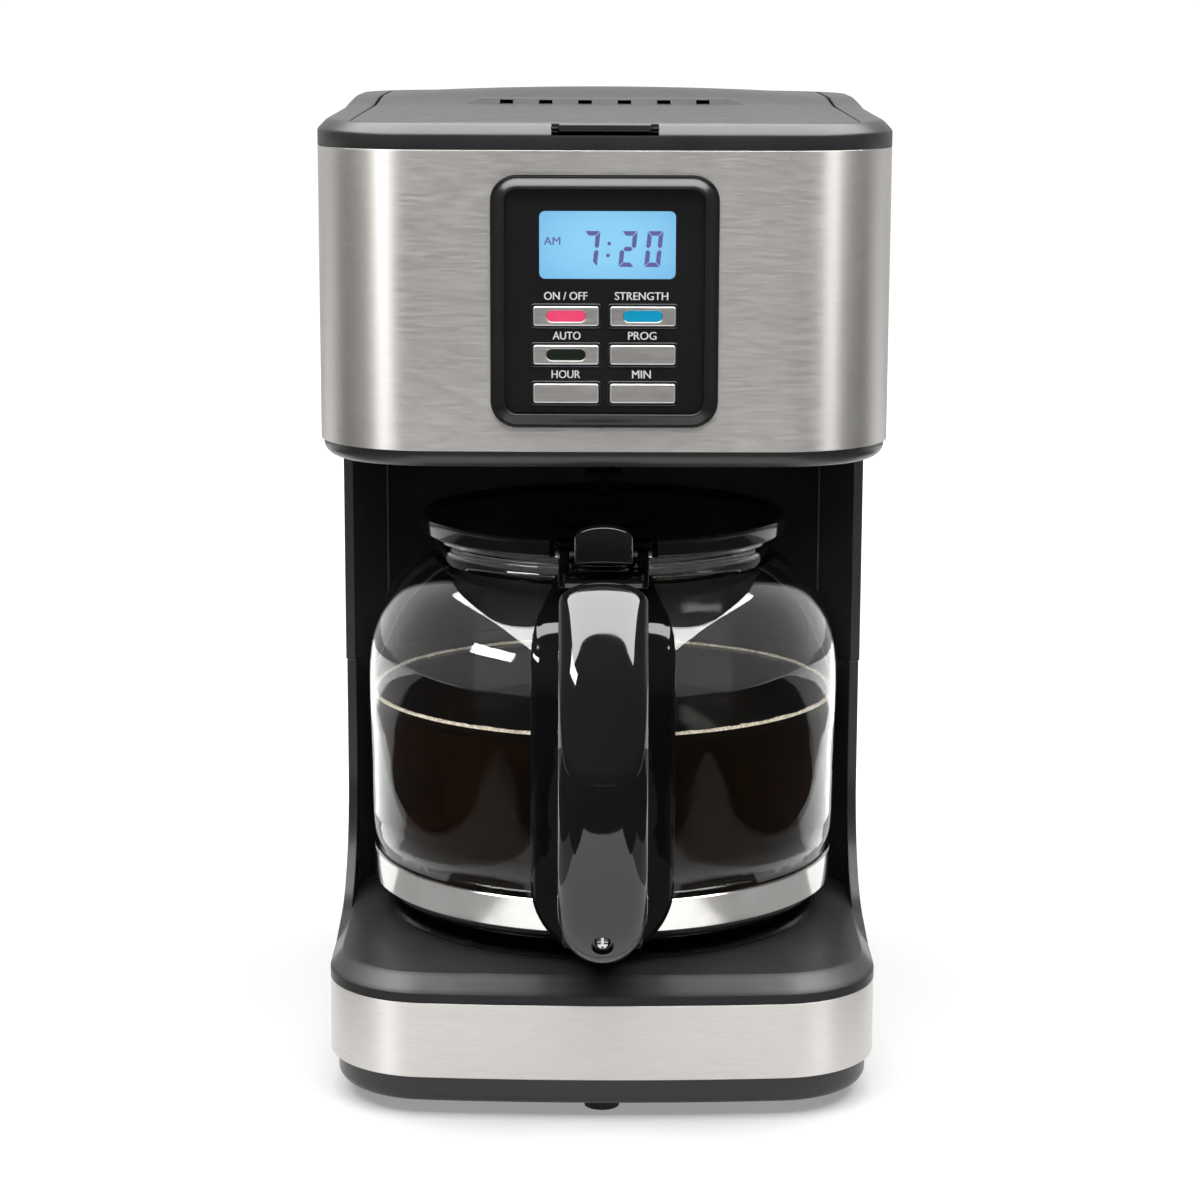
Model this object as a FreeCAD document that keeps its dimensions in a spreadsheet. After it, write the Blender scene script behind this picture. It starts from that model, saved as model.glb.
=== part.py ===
"""Drip coffee maker with a glass carafe, built as separate pieces.

Working frame: X to the right seen from the front, Y towards the back, Z up,
floor at Z = 0.  Every piece is drawn with Y = 0 on the front plane of the
head and is then placed by y_shift, which puts the origin under the middle
of the whole object.
"""
import FreeCAD, Part
import Sketcher
import math
import os

V = FreeCAD.Vector
doc = FreeCAD.newDocument("drip_coffee_maker")
sheet = doc.addObject("Spreadsheet::Sheet", "Params")

SIZES = [
    # whole machine
    ("y_shift", -98.5), ("depth", 235.0), ("carafe_y", 105.0),
    # head
    ("head_w", 190.2), ("head_bow", 2600.0), ("head_rf", 38.0), ("head_rb", 40.0),
    ("head_z0", 223.6), ("steel_z0", 229.3), ("steel_z1", 326.3), ("steel_th", 0.8),
    ("skin_gap", 0.9), ("wall", 2.5), ("floor_th", 3.0),
    # base
    ("base_w", 189.2), ("base_bow", 750.0), ("base_rf", 35.6), ("base_rb", 40.0),
    ("pan_z0", 4.6), ("band_z0", 14.7), ("band_z1", 40.9), ("lip_z", 44.2), ("deck_z", 48.5),
    ("deck_front", 10.4), ("deck_side", 3.9), ("steel_back", 195.0),
    # column
    ("seam_z", 134.0), ("seam_gap", 0.3), ("wing_y", 122.0), ("wing_strip", 3.3),
    ("bay_r", 88.0), ("bay_wall", 3.0), ("bay_x", 80.7), ("bay_y", 141.5),
    ("sweep_r", 42.5), ("sweep_z", 90.0),
    # collar and lid
    ("collar_z0", 326.4), ("collar_f", 334.7), ("collar_m", 336.3), ("collar_b", 338.9),
    ("lid_hw", 82.6), ("lid_gap", 0.5), ("lid_y0", 5.0), ("lid_y1", 213.0), ("lid_th", 2.6),
    ("lid_axis_z", 336.1), ("lid_barrel", 3.2), ("lid_pin", 1.5), ("fit", 0.05),
    # control panel
    ("bezel_w", 73.7), ("bezel_h", 81.7), ("bezel_r", 8.7), ("panel_zc", 278.05),
    ("plate_w", 64.4), ("plate_h", 72.0), ("plate_r", 3.5),
    ("lcd_w", 43.9), ("lcd_h", 21.8), ("lcd_zc", 296.3), ("lcd_r", 2.0),
    ("btn_w", 21.1), ("btn_h", 6.35), ("btn_dx", 12.4), ("btn_gap", 0.35),
    ("row_a", 273.5), ("row_b", 261.0), ("row_c", 248.5), ("led_w", 12.6), ("led_h", 3.7),
    # hot plate and carafe
    ("plate_rad", 71.3), ("ring_rad", 78.5), ("plate_z", 49.9), ("glass_z0", 50.4), ("glass_th", 2.2),
    ("ring_z0", 59.7), ("ring_z1", 70.9), ("ring_ro", 83.6), ("ring_ri", 82.65),
    ("neck_r", 61.0), ("neck_z", 189.4), ("clid_r", 65.7), ("clid_z0", 186.6), ("clid_z1", 193.0),
    ("boss_r", 17.0), ("boss_z", 194.5), ("clid_hy", 38.2), ("clid_hz", 188.5),
    ("guard_w", 49.0), ("grip_w", 29.6), ("handle_y", -38.0),
    # water path
    ("tank_hw", 86.0), ("tank_y0", 197.5), ("tank_y1", 231.0), ("tank_z0", 70.0), ("tank_z1", 316.0),
    ("tank_yu", 182.0), ("tank_zu", 233.0), ("tank_wall", 2.0),
    ("heat_z", 39.5), ("heat_x", 56.0), ("heat_r", 5.0), ("hose_r", 5.5), ("bore_r", 3.6),
    ("riser_x", 72.0), ("riser_y", 176.0),
    # brew basket
    ("bask_rim", 71.0), ("bask_r1", 62.0), ("bask_r0", 37.0), ("bask_z1", 321.3), ("bask_z0", 238.0),
    ("bask_neck", 10.0), ("bask_bore", 8.0), ("bask_nz", 212.0),
    ("stem_r", 2.2), ("nose_z", 194.9),
    # base details
    ("foot_r", 6.0), ("post_x", 73.5), ("post_yf", 44.0), ("post_yb", 150.0), ("gland_x", -58.0), ("gland_z", 27.0),
]


class Dim:
    """A length with its value and the sheet expression that gives it."""

    def __init__(self, value, text):
        self.v = float(value)
        self.t = text

    @staticmethod
    def of(o):
        return o if isinstance(o, Dim) else Dim(o, "%r" % float(o))

    def _op(self, o, sign, fn):
        o = Dim.of(o)
        return Dim(fn(self.v, o.v), "(%s %s %s)" % (self.t, sign, o.t))

    def __add__(self, o): return self._op(o, "+", lambda a, b: a + b)
    def __sub__(self, o): return self._op(o, "-", lambda a, b: a - b)
    def __mul__(self, o): return self._op(o, "*", lambda a, b: a * b)
    def __truediv__(self, o): return self._op(o, "/", lambda a, b: a / b)
    def __radd__(self, o): return Dim.of(o) + self
    def __rsub__(self, o): return Dim.of(o) - self
    def __rmul__(self, o): return Dim.of(o) * self
    def __neg__(self): return Dim(-self.v, "(-1 * %s)" % self.t)


def root(d):
    return Dim(math.sqrt(d.v), "sqrt(%s)" % d.t)


def val(d):
    return d.v if isinstance(d, Dim) else float(d)


class Sizes:
    pass


q = Sizes()
for i, (name, number) in enumerate(SIZES):
    sheet.set("A%d" % (i + 1), name)
    sheet.set("B%d" % (i + 1), str(number))
    sheet.setAlias("B%d" % (i + 1), name)
    setattr(q, name, Dim(number, "Params." + name))
doc.recompute()

nodes = []


def bind(obj, path, d):
    if isinstance(d, Dim):
        obj.setExpression(path, d.t)


def place(obj, x=0.0, y=0.0, z=0.0, rot=None):
    """Put a piece in the shared frame; y counts from the head's front."""
    y = q.y_shift + y
    obj.Placement = FreeCAD.Placement(V(val(x), val(y), val(z)), rot or FreeCAD.Rotation())
    for axis, d in (("x", x), ("y", y), ("z", z)):
        bind(obj, "Placement.Base." + axis, d)
    return obj


def keep(obj, label):
    obj.Label = label
    nodes.append(obj)
    return obj


def new_body(name, x=0.0, y=0.0, z=0.0, rot=None, node=True):
    b = doc.addObject("PartDesign::Body", name)
    place(b, x, y, z, rot)
    return keep(b, name) if node else b


# ---------------------------------------------------------------- sketches
def sketch(body, role, off=0.0):
    sk = body.newObject("Sketcher::SketchObject", body.Name + "_sk")
    plane = [o for o in body.Origin.OriginFeatures if o.Role == role][0]
    sk.AttachmentSupport = [(plane, "")]
    sk.MapMode = "FlatFace"
    sk.AttachmentOffset = FreeCAD.Placement(V(0, 0, val(off)), FreeCAD.Rotation())
    bind(sk, "AttachmentOffset.Base.z", off)
    return sk


def pin_point(sk, geo, pos, x, y):
    for kind, d in (("DistanceX", x), ("DistanceY", y)):
        n = sk.addConstraint(Sketcher.Constraint(kind, -1, 1, geo, pos, val(d)))
        if isinstance(d, Dim):
            sk.setExpression("Constraints[%d]" % n, d.t)


def path(sk, pts, arcs=None):
    """Closed outline through pts; arcs maps a side's index to (radius, centre)."""
    arcs = arcs or {}
    n = len(pts)
    ends = []
    for i in range(n):
        a, b = pts[i], pts[(i + 1) % n]
        pa, pb = V(val(a[0]), val(a[1]), 0), V(val(b[0]), val(b[1]), 0)
        if i in arcs:
            r, c, ccw = arcs[i]
            cx, cy = val(c[0]), val(c[1])
            ta, tb = math.atan2(pa.y - cy, pa.x - cx), math.atan2(pb.y - cy, pb.x - cx)
            if not ccw:
                ta, tb = tb, ta
            g = sk.addGeometry(Part.ArcOfCircle(Part.Circle(V(cx, cy, 0), V(0, 0, 1), val(r)), ta, tb), False)
            k = sk.addConstraint(Sketcher.Constraint("Radius", g, val(r)))
            if isinstance(r, Dim):
                sk.setExpression("Constraints[%d]" % k, r.t)
            ends.append((g, 1, 2) if ccw else (g, 2, 1))
        else:
            g = sk.addGeometry(Part.LineSegment(pa, pb), False)
            ends.append((g, 1, 2))
    for i in range(n):
        g, s, e = ends[i]
        g2, s2, e2 = ends[(i + 1) % n]
        sk.addConstraint(Sketcher.Constraint("Coincident", g, e, g2, s2))
        pin_point(sk, g, s, pts[i][0], pts[i][1])
    return sk


def circle(sk, x, y, r):
    g = sk.addGeometry(Part.Circle(V(val(x), val(y), 0), V(0, 0, 1), val(r)), False)
    k = sk.addConstraint(Sketcher.Constraint("Radius", g, val(r)))
    if isinstance(r, Dim):
        sk.setExpression("Constraints[%d]" % k, r.t)
    pin_point(sk, g, 3, x, y)
    return sk


def rect(sk, x0, y0, x1, y1, r=None):
    """Rectangle, with rounded corners when r is given."""
    if r is None:
        return path(sk, [(x0, y0), (x1, y0), (x1, y1), (x0, y1)])
    pts = [(x0 + r, y0), (x1 - r, y0), (x1, y0 + r), (x1, y1 - r),
           (x1 - r, y1), (x0 + r, y1), (x0, y1 - r), (x0, y0 + r)]
    arcs = {1: (r, (x1 - r, y0 + r), True), 3: (r, (x1 - r, y1 - r), True),
            5: (r, (x0 + r, y1 - r), True), 7: (r, (x0 + r, y0 + r), True)}
    return path(sk, pts, arcs)


def outline(sk, w, y0, y1, bow, rf, rb, inset=0.0):
    """Plan of the housing: bowed front, rounded front and back corners."""
    hw, y0, y1 = w / 2 - inset, y0 + inset, y1 - inset
    bow, rf, rb = bow - inset, rf - inset, rb - inset
    rise = root((bow - rf) * (bow - rf) - (hw - rf) * (hw - rf))
    ratio = bow / (bow - rf)
    fx, fy = ratio * (hw - rf), y0 + bow - ratio * rise
    cy = y0 + bow - rise
    pts = [(hw, cy), (hw, y1 - rb), (hw - rb, y1), (rb - hw, y1), (-hw, y1 - rb),
           (-hw, cy), (-fx, fy), (fx, fy)]
    arcs = {1: (rb, (hw - rb, y1 - rb), True), 3: (rb, (rb - hw, y1 - rb), True),
            5: (rf, (rf - hw, cy), True), 6: (bow, (0.0, y0 + bow), True), 7: (rf, (hw - rf, cy), True)}
    return path(sk, pts, arcs)


def head_plan(sk, inset=0.0):
    return outline(sk, q.head_w, 0.0 * q.depth, q.depth, q.head_bow, q.head_rf, q.head_rb, inset)


def base_plan(sk, inset=0.0):
    return outline(sk, q.base_w, 0.0 * q.depth, q.depth, q.base_bow, q.base_rf, q.base_rb, inset)


# ---------------------------------------------------------------- features
def feature(body, kind, sk, length, sym=False, rev=False):
    f = body.newObject("PartDesign::" + kind, body.Name + "_" + kind.lower())
    f.Profile = sk
    f.Length = val(length)
    bind(f, "Length", length)
    f.Reversed = rev
    if sym:
        f.SideType = "Symmetric"
    return f


def sound(f):
    if "Invalid" in f.State or "Error" in f.State or f.Shape.isNull():
        raise RuntimeError("feature failed: " + f.Name)
    return f


def pad(body, sk, length, sym=False, rev=False):
    f = feature(body, "Pad", sk, length, sym, rev)
    doc.recompute()
    return sound(f)


def cut(body, sk, length, sym=False):
    """Cut along the sketch's normal and confirm that material was removed."""
    doc.recompute()
    before = body.Shape.Volume
    f = feature(body, "Pocket", sk, length, sym, not sym)
    doc.recompute()
    if not body.Shape.Volume < before - 1e-3:
        raise RuntimeError("nothing was cut from " + body.Name)
    return f


def revolve(body, sk, angle=360.0, sym=False):
    f = body.newObject("PartDesign::Revolution", body.Name + "_rev")
    f.Profile = sk
    f.ReferenceAxis = (sk, ["V_Axis"])
    f.Angle = angle
    f.Midplane = sym
    doc.recompute()
    return sound(f)


def edges_of(shape, test):
    return ["Edge%d" % (i + 1) for i, e in enumerate(shape.Edges) if test(e)]


def fillet(body, test, r, kind="Fillet"):
    doc.recompute()
    base = body.Tip
    names = edges_of(base.Shape, test)
    if not names:
        raise RuntimeError("no edges to round on " + body.Name)
    f = body.newObject("PartDesign::" + kind, body.Name + "_" + kind.lower())
    f.Base = (base, names)
    if kind == "Fillet":
        f.Radius = val(r)
        bind(f, "Radius", r)
    else:
        f.Size = val(r)
        bind(f, "Size", r)
    doc.recompute()
    return sound(f)


def at_z(z, tol=0.01):
    return lambda e: e.BoundBox.ZMin > val(z) - tol and e.BoundBox.ZMax < val(z) + tol


def at_y(y, tol=0.01):
    return lambda e: e.BoundBox.YMin > val(y) - tol and e.BoundBox.YMax < val(y) + tol


# ------------------------------------------------- primitives and groups
def box(name, x0, y0, z0, dx, dy, dz, node=False):
    o = doc.addObject("Part::Box", name)
    for prop, d in (("Length", dx), ("Width", dy), ("Height", dz)):
        setattr(o, prop, val(d))
        bind(o, prop, d)
    place(o, x0, y0, z0)
    return keep(o, name) if node else o


AXES = {"z": FreeCAD.Rotation(), "x": FreeCAD.Rotation(V(0, 1, 0), 90), "y": FreeCAD.Rotation(V(1, 0, 0), -90)}


def cylinder(name, x, y, z, r, length, axis="z", node=False):
    o = doc.addObject("Part::Cylinder", name)
    o.Radius, o.Height = val(r), val(length)
    bind(o, "Radius", r)
    bind(o, "Height", length)
    place(o, x, y, z, AXES[axis])
    return keep(o, name) if node else o


def group(name, members):
    o = doc.addObject("Part::Compound", name)
    o.Links = members
    return keep(o, name)


def boolean(kind, name, base, tool, node=True):
    o = doc.addObject("Part::" + kind, name)
    o.Base, o.Tool = base, tool
    doc.recompute()
    return keep(o, name) if node else o


def bent_path(pts, bend):
    """Straight runs joined by tangent arcs."""
    pts = [V(*[val(c) for c in p]) for p in pts]
    edges, start = [], pts[0]
    for i in range(1, len(pts) - 1):
        a, p, b = pts[i - 1], pts[i], pts[i + 1]
        u, w = (a - p).normalize(), (b - p).normalize()
        half = u.getAngle(w) / 2
        run = bend / math.tan(half)
        m = p + (u + w).normalize() * (bend / math.sin(half) - bend)
        t0, t1 = p + u * run, p + w * run
        if (t0 - start).Length > 1e-6:
            edges.append(Part.LineSegment(start, t0).toShape())
        edges.append(Part.Arc(t0, m, t1).toShape())
        start = t1
    edges.append(Part.LineSegment(start, pts[-1]).toShape())
    return Part.Wire(edges)


def tube(name, pts, bend, r_out, r_in=None):
    """A bent tube: neither a sketch plane nor a primitive carries this path."""
    wire = bent_path(pts, bend)
    p0, p1 = wire.Edges[0].Vertexes[0].Point, wire.Edges[0].Vertexes[-1].Point

    def sweep(r):
        ring = Part.Wire([Part.makeCircle(val(r), p0, p1 - p0)])
        return wire.makePipeShell([ring], True, False)
    solid = sweep(r_out)
    if r_in is not None:
        solid = solid.cut(sweep(r_in))
    o = doc.addObject("Part::Feature", name)
    o.Shape = solid
    place(o)
    return keep(o, name)


# =====================================================================
# Base: pan, steel band, feet, screws
# =====================================================================
pan = new_body("base_pan")
pad(pan, base_plan(sketch(pan, "XY_Plane", q.pan_z0), 2.6), q.band_z0 - q.pan_z0 - 0.1)
fillet(pan, at_z(q.pan_z0), 3.6)
cut(pan, base_plan(sketch(pan, "XY_Plane", q.pan_z0 + q.wall), 2.6 + q.wall), 20.0)
sk = sketch(pan, "XY_Plane", 0.0)
for sx in (-1, 1):
    for py in (q.post_yf, q.post_yb):
        circle(sk, sx * q.post_x, py, 1.8)
cut(pan, sk, 12.0)
# cooling slots through the floor of the pan
sk = sketch(pan, "XY_Plane", 0.0)
for i in range(5):
    rect(sk, -24.0 + 12 * i - 2, 150.0, -24.0 + 12 * i + 2, 186.0, 1.8)
cut(pan, sk, 12.0)

band = new_body("base_band")
pad(band, base_plan(sketch(band, "XY_Plane", q.band_z0)), q.band_z1 - q.band_z0 - 0.05)
cut(band, base_plan(sketch(band, "XY_Plane", q.band_z0 - 1), q.steel_th), 40.0)
cut(band, rect(sketch(band, "XY_Plane", q.band_z0 - 1), -120.0, q.steel_back, 120.0, q.depth + 10), 40.0)

feet = [cylinder("foot_%d" % i, x, y, 0.0, q.foot_r, q.pan_z0 - 0.02)
        for i, (x, y) in enumerate(((0.0, 17.0), (-68.0, 34.0), (68.0, 34.0), (-62.0, 208.0), (62.0, 208.0)))]
group("rubber_feet", feet)

screws = []
for i, (sx, py) in enumerate(((-1, q.post_yf), (1, q.post_yf), (-1, q.post_yb), (1, q.post_yb))):
    head = cylinder("bs_head_%d" % i, sx * q.post_x, py, q.pan_z0 - 2.05, 3.2, 2.0)
    shank = cylinder("bs_shank_%d" % i, sx * q.post_x, py, q.pan_z0 - 0.3, 1.5, 22.0)
    screws.append(boolean("Fuse", "bs_%d" % i, head, shank, node=False))
group("base_screws", screws)

# =====================================================================
# Lower housing: deck, swept wings and lower column in one moulding
# =====================================================================
low = new_body("lower_housing")
pad(low, base_plan(sketch(low, "XY_Plane", q.band_z0), q.skin_gap), q.lip_z - q.band_z0)
pad(low, base_plan(sketch(low, "XY_Plane", q.lip_z)), q.seam_z - q.seam_gap / 2 - q.lip_z)
# side view of the front: wings stand up from the deck through a concave sweep
s8, c8 = math.sin(math.radians(8.3)), math.cos(math.radians(8.3))
cyc = q.wing_y - q.sweep_r
ty, tz = cyc + q.sweep_r * s8, q.sweep_z - q.sweep_r * c8
sk = sketch(low, "YZ_Plane")
path(sk, [(-20.0, q.lip_z), (60.0, q.lip_z), (ty, tz), (q.wing_y, q.sweep_z), (q.wing_y, 200.0), (-20.0, 200.0)],
     {2: (q.sweep_r, (cyc, q.sweep_z), True)})
cut(low, sk, 400.0, sym=True)
# carafe bay
bx = q.base_w / 2 - q.wing_strip


def bay_cut(body, z, length, bx):
    cut(body, path(sketch(body, "XY_Plane", z), [(-bx, -10.0), (bx, -10.0), (bx, q.wing_y), (q.bay_x, q.bay_y),
                                                 (-q.bay_x, q.bay_y), (-bx, q.wing_y)]), length)
    cut(body, circle(sketch(body, "XY_Plane", z), 0.0, q.carafe_y, q.bay_r), length)


bay_cut(low, q.deck_z, 120.0, bx)
# bevelled shoulder of the deck, then the lip above the steel band
loft = low.newObject("PartDesign::AdditiveLoft", "deck_shoulder")
lo_sk = base_plan(sketch(low, "XY_Plane", q.lip_z))
hi_sk = outline(sketch(low, "XY_Plane", q.deck_z), q.base_w - 2 * q.deck_side, q.deck_front, q.depth - q.deck_side,
                q.base_bow, q.base_rf - q.deck_side, q.base_rb - q.deck_side)
loft.Profile = lo_sk
loft.Sections = [hi_sk]
loft.Ruled = True
doc.recompute()
pad(low, base_plan(sketch(low, "XY_Plane", q.band_z1)), q.lip_z - q.band_z1)
# hollow base
cut(low, base_plan(sketch(low, "XY_Plane", q.band_z0 - 1), q.skin_gap + q.wall), 41.0 - q.band_z0 + 1)
cut(low, base_plan(sketch(low, "XY_Plane", q.band_z0 - 1), 14.0), 45.5 - q.band_z0 + 1)


def column_cavity(body, z, length, w):
    hw, yb, ro = w / 2 - q.skin_gap - q.wall, q.depth - q.skin_gap - q.wall, q.base_rb - q.skin_gap - q.wall
    cr = q.bay_r + q.bay_wall
    yv = 138.0
    xa = root(cr * cr - (yv - q.carafe_y) * (yv - q.carafe_y))
    pts = [(hw, yv), (hw, yb - ro), (hw - ro, yb), (ro - hw, yb), (-hw, yb - ro), (-hw, yv), (-xa, yv), (xa, yv)]
    arcs = {1: (ro, (hw - ro, yb - ro), True), 3: (ro, (ro - hw, yb - ro), True), 6: (cr, (0.0, q.carafe_y), False)}
    cut(body, path(sketch(body, "XY_Plane", z), pts, arcs), length)


column_cavity(low, 38.0, 140.0, q.base_w)
cut(low, circle(sketch(low, "XY_Plane", 38.0), 0.0, q.carafe_y, q.plate_rad + 0.9), 30.0)
# screw posts from the deck down to the floor of the pan
sk = sketch(low, "XY_Plane", q.pan_z0 + q.wall + 0.1)
for sx in (-1, 1):
    for py in (q.post_yf, q.post_yb):
        circle(sk, sx * q.post_x, py, 5.0)
pad(low, sk, 46.6 - q.pan_z0 - q.wall - 0.1)
sk = sketch(low, "XY_Plane", q.pan_z0)
for sx in (-1, 1):
    for py in (q.post_yf, q.post_yb):
        circle(sk, sx * q.post_x, py, 1.6)
cut(low, sk, 28.0)
# hole for the cord gland in the back wall
cut(low, circle(sketch(low, "XZ_Plane", -(q.depth + 5)), q.gland_x, q.gland_z, 6.0), 14.0)

gland = new_body("cord_gland")
pad(gland, circle(sketch(gland, "XZ_Plane", -(q.depth - q.skin_gap + 0.6)), q.gland_x, q.gland_z, 8.0), 0.55)
pad(gland, circle(sketch(gland, "XZ_Plane", -(q.depth - q.skin_gap + 0.6)), q.gland_x, q.gland_z, 5.95), 5.0)
cut(gland, circle(sketch(gland, "XZ_Plane", -(q.depth + 5)), q.gland_x, q.gland_z, 3.6), 15.0)

# =====================================================================
# Upper housing: column top and head box
# =====================================================================
up = new_body("upper_housing")
pad(up, head_plan(sketch(up, "XY_Plane", q.head_z0), q.skin_gap), q.steel_z1 - q.head_z0 - 0.1)
fillet(up, at_z(q.head_z0), 4.6)
hw, yb, ro = q.head_w / 2 - 0.15, q.depth - 0.3, q.head_rb - 0.3
sk = sketch(up, "XY_Plane", q.seam_z + q.seam_gap / 2)
path(sk, [(hw, q.wing_y), (hw, yb - ro), (hw - ro, yb), (ro - hw, yb), (-hw, yb - ro), (-hw, q.wing_y)],
     {1: (ro, (hw - ro, yb - ro), True), 3: (ro, (ro - hw, yb - ro), True)})
pad(up, sk, q.steel_z0 - 0.2 - q.seam_z - q.seam_gap / 2)
bay_cut(up, q.seam_z, q.head_z0 - q.seam_z, q.head_w / 2 - 0.15 - q.wing_strip)
cut(up, head_plan(sketch(up, "XY_Plane", q.head_z0 + q.floor_th), q.skin_gap + q.wall), 120.0)
column_cavity(up, q.seam_z - 1, 120.0, q.head_w)
cut(up, circle(sketch(up, "XY_Plane", q.head_z0 - 1), 0.0, q.carafe_y, 22.0), 10.0)
cut(up, rect(sketch(up, "XZ_Plane", -10.0), -33.0, q.panel_zc - 37.0, 33.0, q.panel_zc + 37.0, 3.0), 16.0)

wrap = new_body("head_wrap")
pad(wrap, head_plan(sketch(wrap, "XY_Plane", q.steel_z0)), q.steel_z1 - q.steel_z0)
cut(wrap, head_plan(sketch(wrap, "XY_Plane", q.steel_z0 - 1), q.steel_th), 110.0)
cut(wrap, rect(sketch(wrap, "XY_Plane", q.steel_z0 - 1), -120.0, q.steel_back, 120.0, q.depth + 10), 110.0)
cut(wrap, rect(sketch(wrap, "XZ_Plane", -10.0), -33.4, q.panel_zc - 37.4, 33.4, q.panel_zc + 37.4, 3.0), 16.0)

# =====================================================================
# Collar, inner deck and lid
# =====================================================================
rise_r = (24.0 * 24.0 + (q.collar_b - q.collar_m) * (q.collar_b - q.collar_m) / 4) / (q.collar_b - q.collar_m)


def top_line(sk):
    """Side view of everything above the collar's rising top edge."""
    zm = (q.collar_m + q.collar_b) / 2
    pts = [(-20.0, q.collar_f - 0.25), (120.0, q.collar_m), (144.0, zm), (168.0, q.collar_b), (260.0, q.collar_b + 0.4),
           (260.0, 380.0), (-20.0, 380.0)]
    return path(sk, pts, {1: (rise_r, (120.0, q.collar_m + rise_r), True), 2: (rise_r, (168.0, q.collar_b - rise_r), False)})


col = new_body("collar_ring", node=False)
pad(col, head_plan(sketch(col, "XY_Plane", q.collar_z0)), 20.0)
cut(col, top_line(sketch(col, "YZ_Plane")), 400.0, sym=True)
fillet(col, lambda e: e.BoundBox.ZMin > q.collar_f.v - 1.0, 3.4, "Chamfer")
cut(col, rect(sketch(col, "XY_Plane", q.collar_z0 - 1), -80.0, 12.0, 80.0, q.lid_y1 - 6.0, 8.0), 30.0)
# notch for the thumb tab in the front chamfer
cut(col, rect(sketch(col, "XZ_Plane", -(q.lid_y0 + 1)), -18.8, 331.0, 18.8, 345.0), 30.0)
# seats for the hinge pins
cut(col, circle(sketch(col, "YZ_Plane", -88.2), q.lid_y1, q.lid_axis_z, q.lid_pin), 176.4)
# recess that the lid drops into, on a narrow ledge; its front follows the chamfer
lx = q.lid_hw + q.lid_gap
recess = new_body("lid_recess_box", node=False)
pad(recess, rect(sketch(recess, "XY_Plane", 331.2), -lx, 0.0, lx, q.lid_y1 + q.lid_barrel + 2.0), 30.0)
limit = new_body("lid_recess_plan", node=False)
pad(limit, head_plan(sketch(limit, "XY_Plane", 331.2), 3.9), 30.0)
recess = boolean("Common", "lid_recess", recess, limit, node=False)
boolean("Cut", "top_collar", col, recess)

deck = new_body("inner_deck")
pad(deck, head_plan(sketch(deck, "XY_Plane", 316.2), q.skin_gap + q.wall + 0.2), 3.0)
cut(deck, circle(sketch(deck, "XY_Plane", 315.0), 0.0, q.carafe_y, q.bask_r1 + 4.5), 10.0)
cut(deck, rect(sketch(deck, "XY_Plane", 315.0), -66.0, q.tank_yu + 4, 66.0, q.tank_y1 - 8, 6.0), 10.0)
cut(deck, circle(sketch(deck, "XY_Plane", 315.0), q.riser_x, q.riser_y, q.hose_r + 0.5), 10.0)

# lid skin: crowned sections from the front seam to the hinge, close enough together to read as one surface
LID_LINE = [(q.lid_y0 - 1.0, q.collar_f + 0.05, 0.2), (60.0, q.collar_f + 0.75, 0.6), (118.0, q.collar_m, 1.1),
            (168.0, q.collar_b, 3.2), (196.0, q.collar_b + 0.2, 2.4), (q.lid_y1, q.collar_b + 0.2, 0.3)]
LID_STEPS = [4.0, 30.0, 60.0, 90.0, 118.0, 126.0, 134.0, 142.0, 150.0, 159.0, 168.0, 178.0, 187.0, 196.0, 203.0, 208.5, 213.0]


def lid_at(y):
    """Edge height and crown of the lid at y, eased between the stations of LID_LINE."""
    for (ya, za, ca), (yb, zb, cb) in zip(LID_LINE, LID_LINE[1:]):
        ya, yb = val(ya), val(yb)
        if y <= yb + 1e-9:
            u = (y - ya) / (yb - ya)
            if ya >= 118.0:
                u = u * u * (3 - 2 * u)
            return val(za) + u * (val(zb) - val(za)), ca + u * (cb - ca)


def lid_skin():
    hw, th = q.lid_hw.v, q.lid_th.v
    wires = []
    for y in LID_STEPS:
        ze, crown = lid_at(y)
        a, b, c, d = V(-hw, y, ze - th), V(hw, y, ze - th), V(hw, y, ze), V(-hw, y, ze)
        wires.append(Part.Wire([Part.Arc(a, V(0, y, ze + crown - th), b).toShape(), Part.LineSegment(b, c).toShape(),
                                Part.Arc(c, V(0, y, ze + crown), d).toShape(), Part.LineSegment(d, a).toShape()]))
    return Part.makeLoft(wires, True, True)


skin = doc.addObject("Part::Feature", "lid_skin")
skin.Shape = lid_skin()
place(skin)
plan = new_body("lid_plan", node=False)
pad(plan, head_plan(sketch(plan, "XY_Plane", 320.0), 4.35), 40.0)
skin = boolean("Common", "lid_trimmed", skin, plan, node=False)
# low terrace that carries the steam vents in its front face
lid = new_body("lid_fittings", node=False)
sk = sketch(lid, "XY_Plane", 334.6)
path(sk, [(-44.0, 126.0), (44.0, 126.0), (44.0, 178.0), (-44.0, 178.0)], {0: (125.0, (0.0, 243.0), True)})
pad(lid, sk, 339.0 - 334.6)
# thumb tab over the front chamfer
pad(lid, rect(sketch(lid, "XZ_Plane", -(q.lid_y0 + 2)), -18.0, q.collar_f - 2.6, 18.0, q.collar_f), q.lid_y0 + 1.4)
fillet(lid, lambda e: e.BoundBox.YMax < 0.7 and e.BoundBox.XLength > 30, 1.0)
# hinge barrel along the rear edge
pad(lid, circle(sketch(lid, "YZ_Plane"), q.lid_y1, q.lid_axis_z, q.lid_barrel), 2 * q.lid_hw - 3.0, sym=True)
lid = boolean("Fuse", "lid_whole", skin, lid, node=False)
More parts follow.
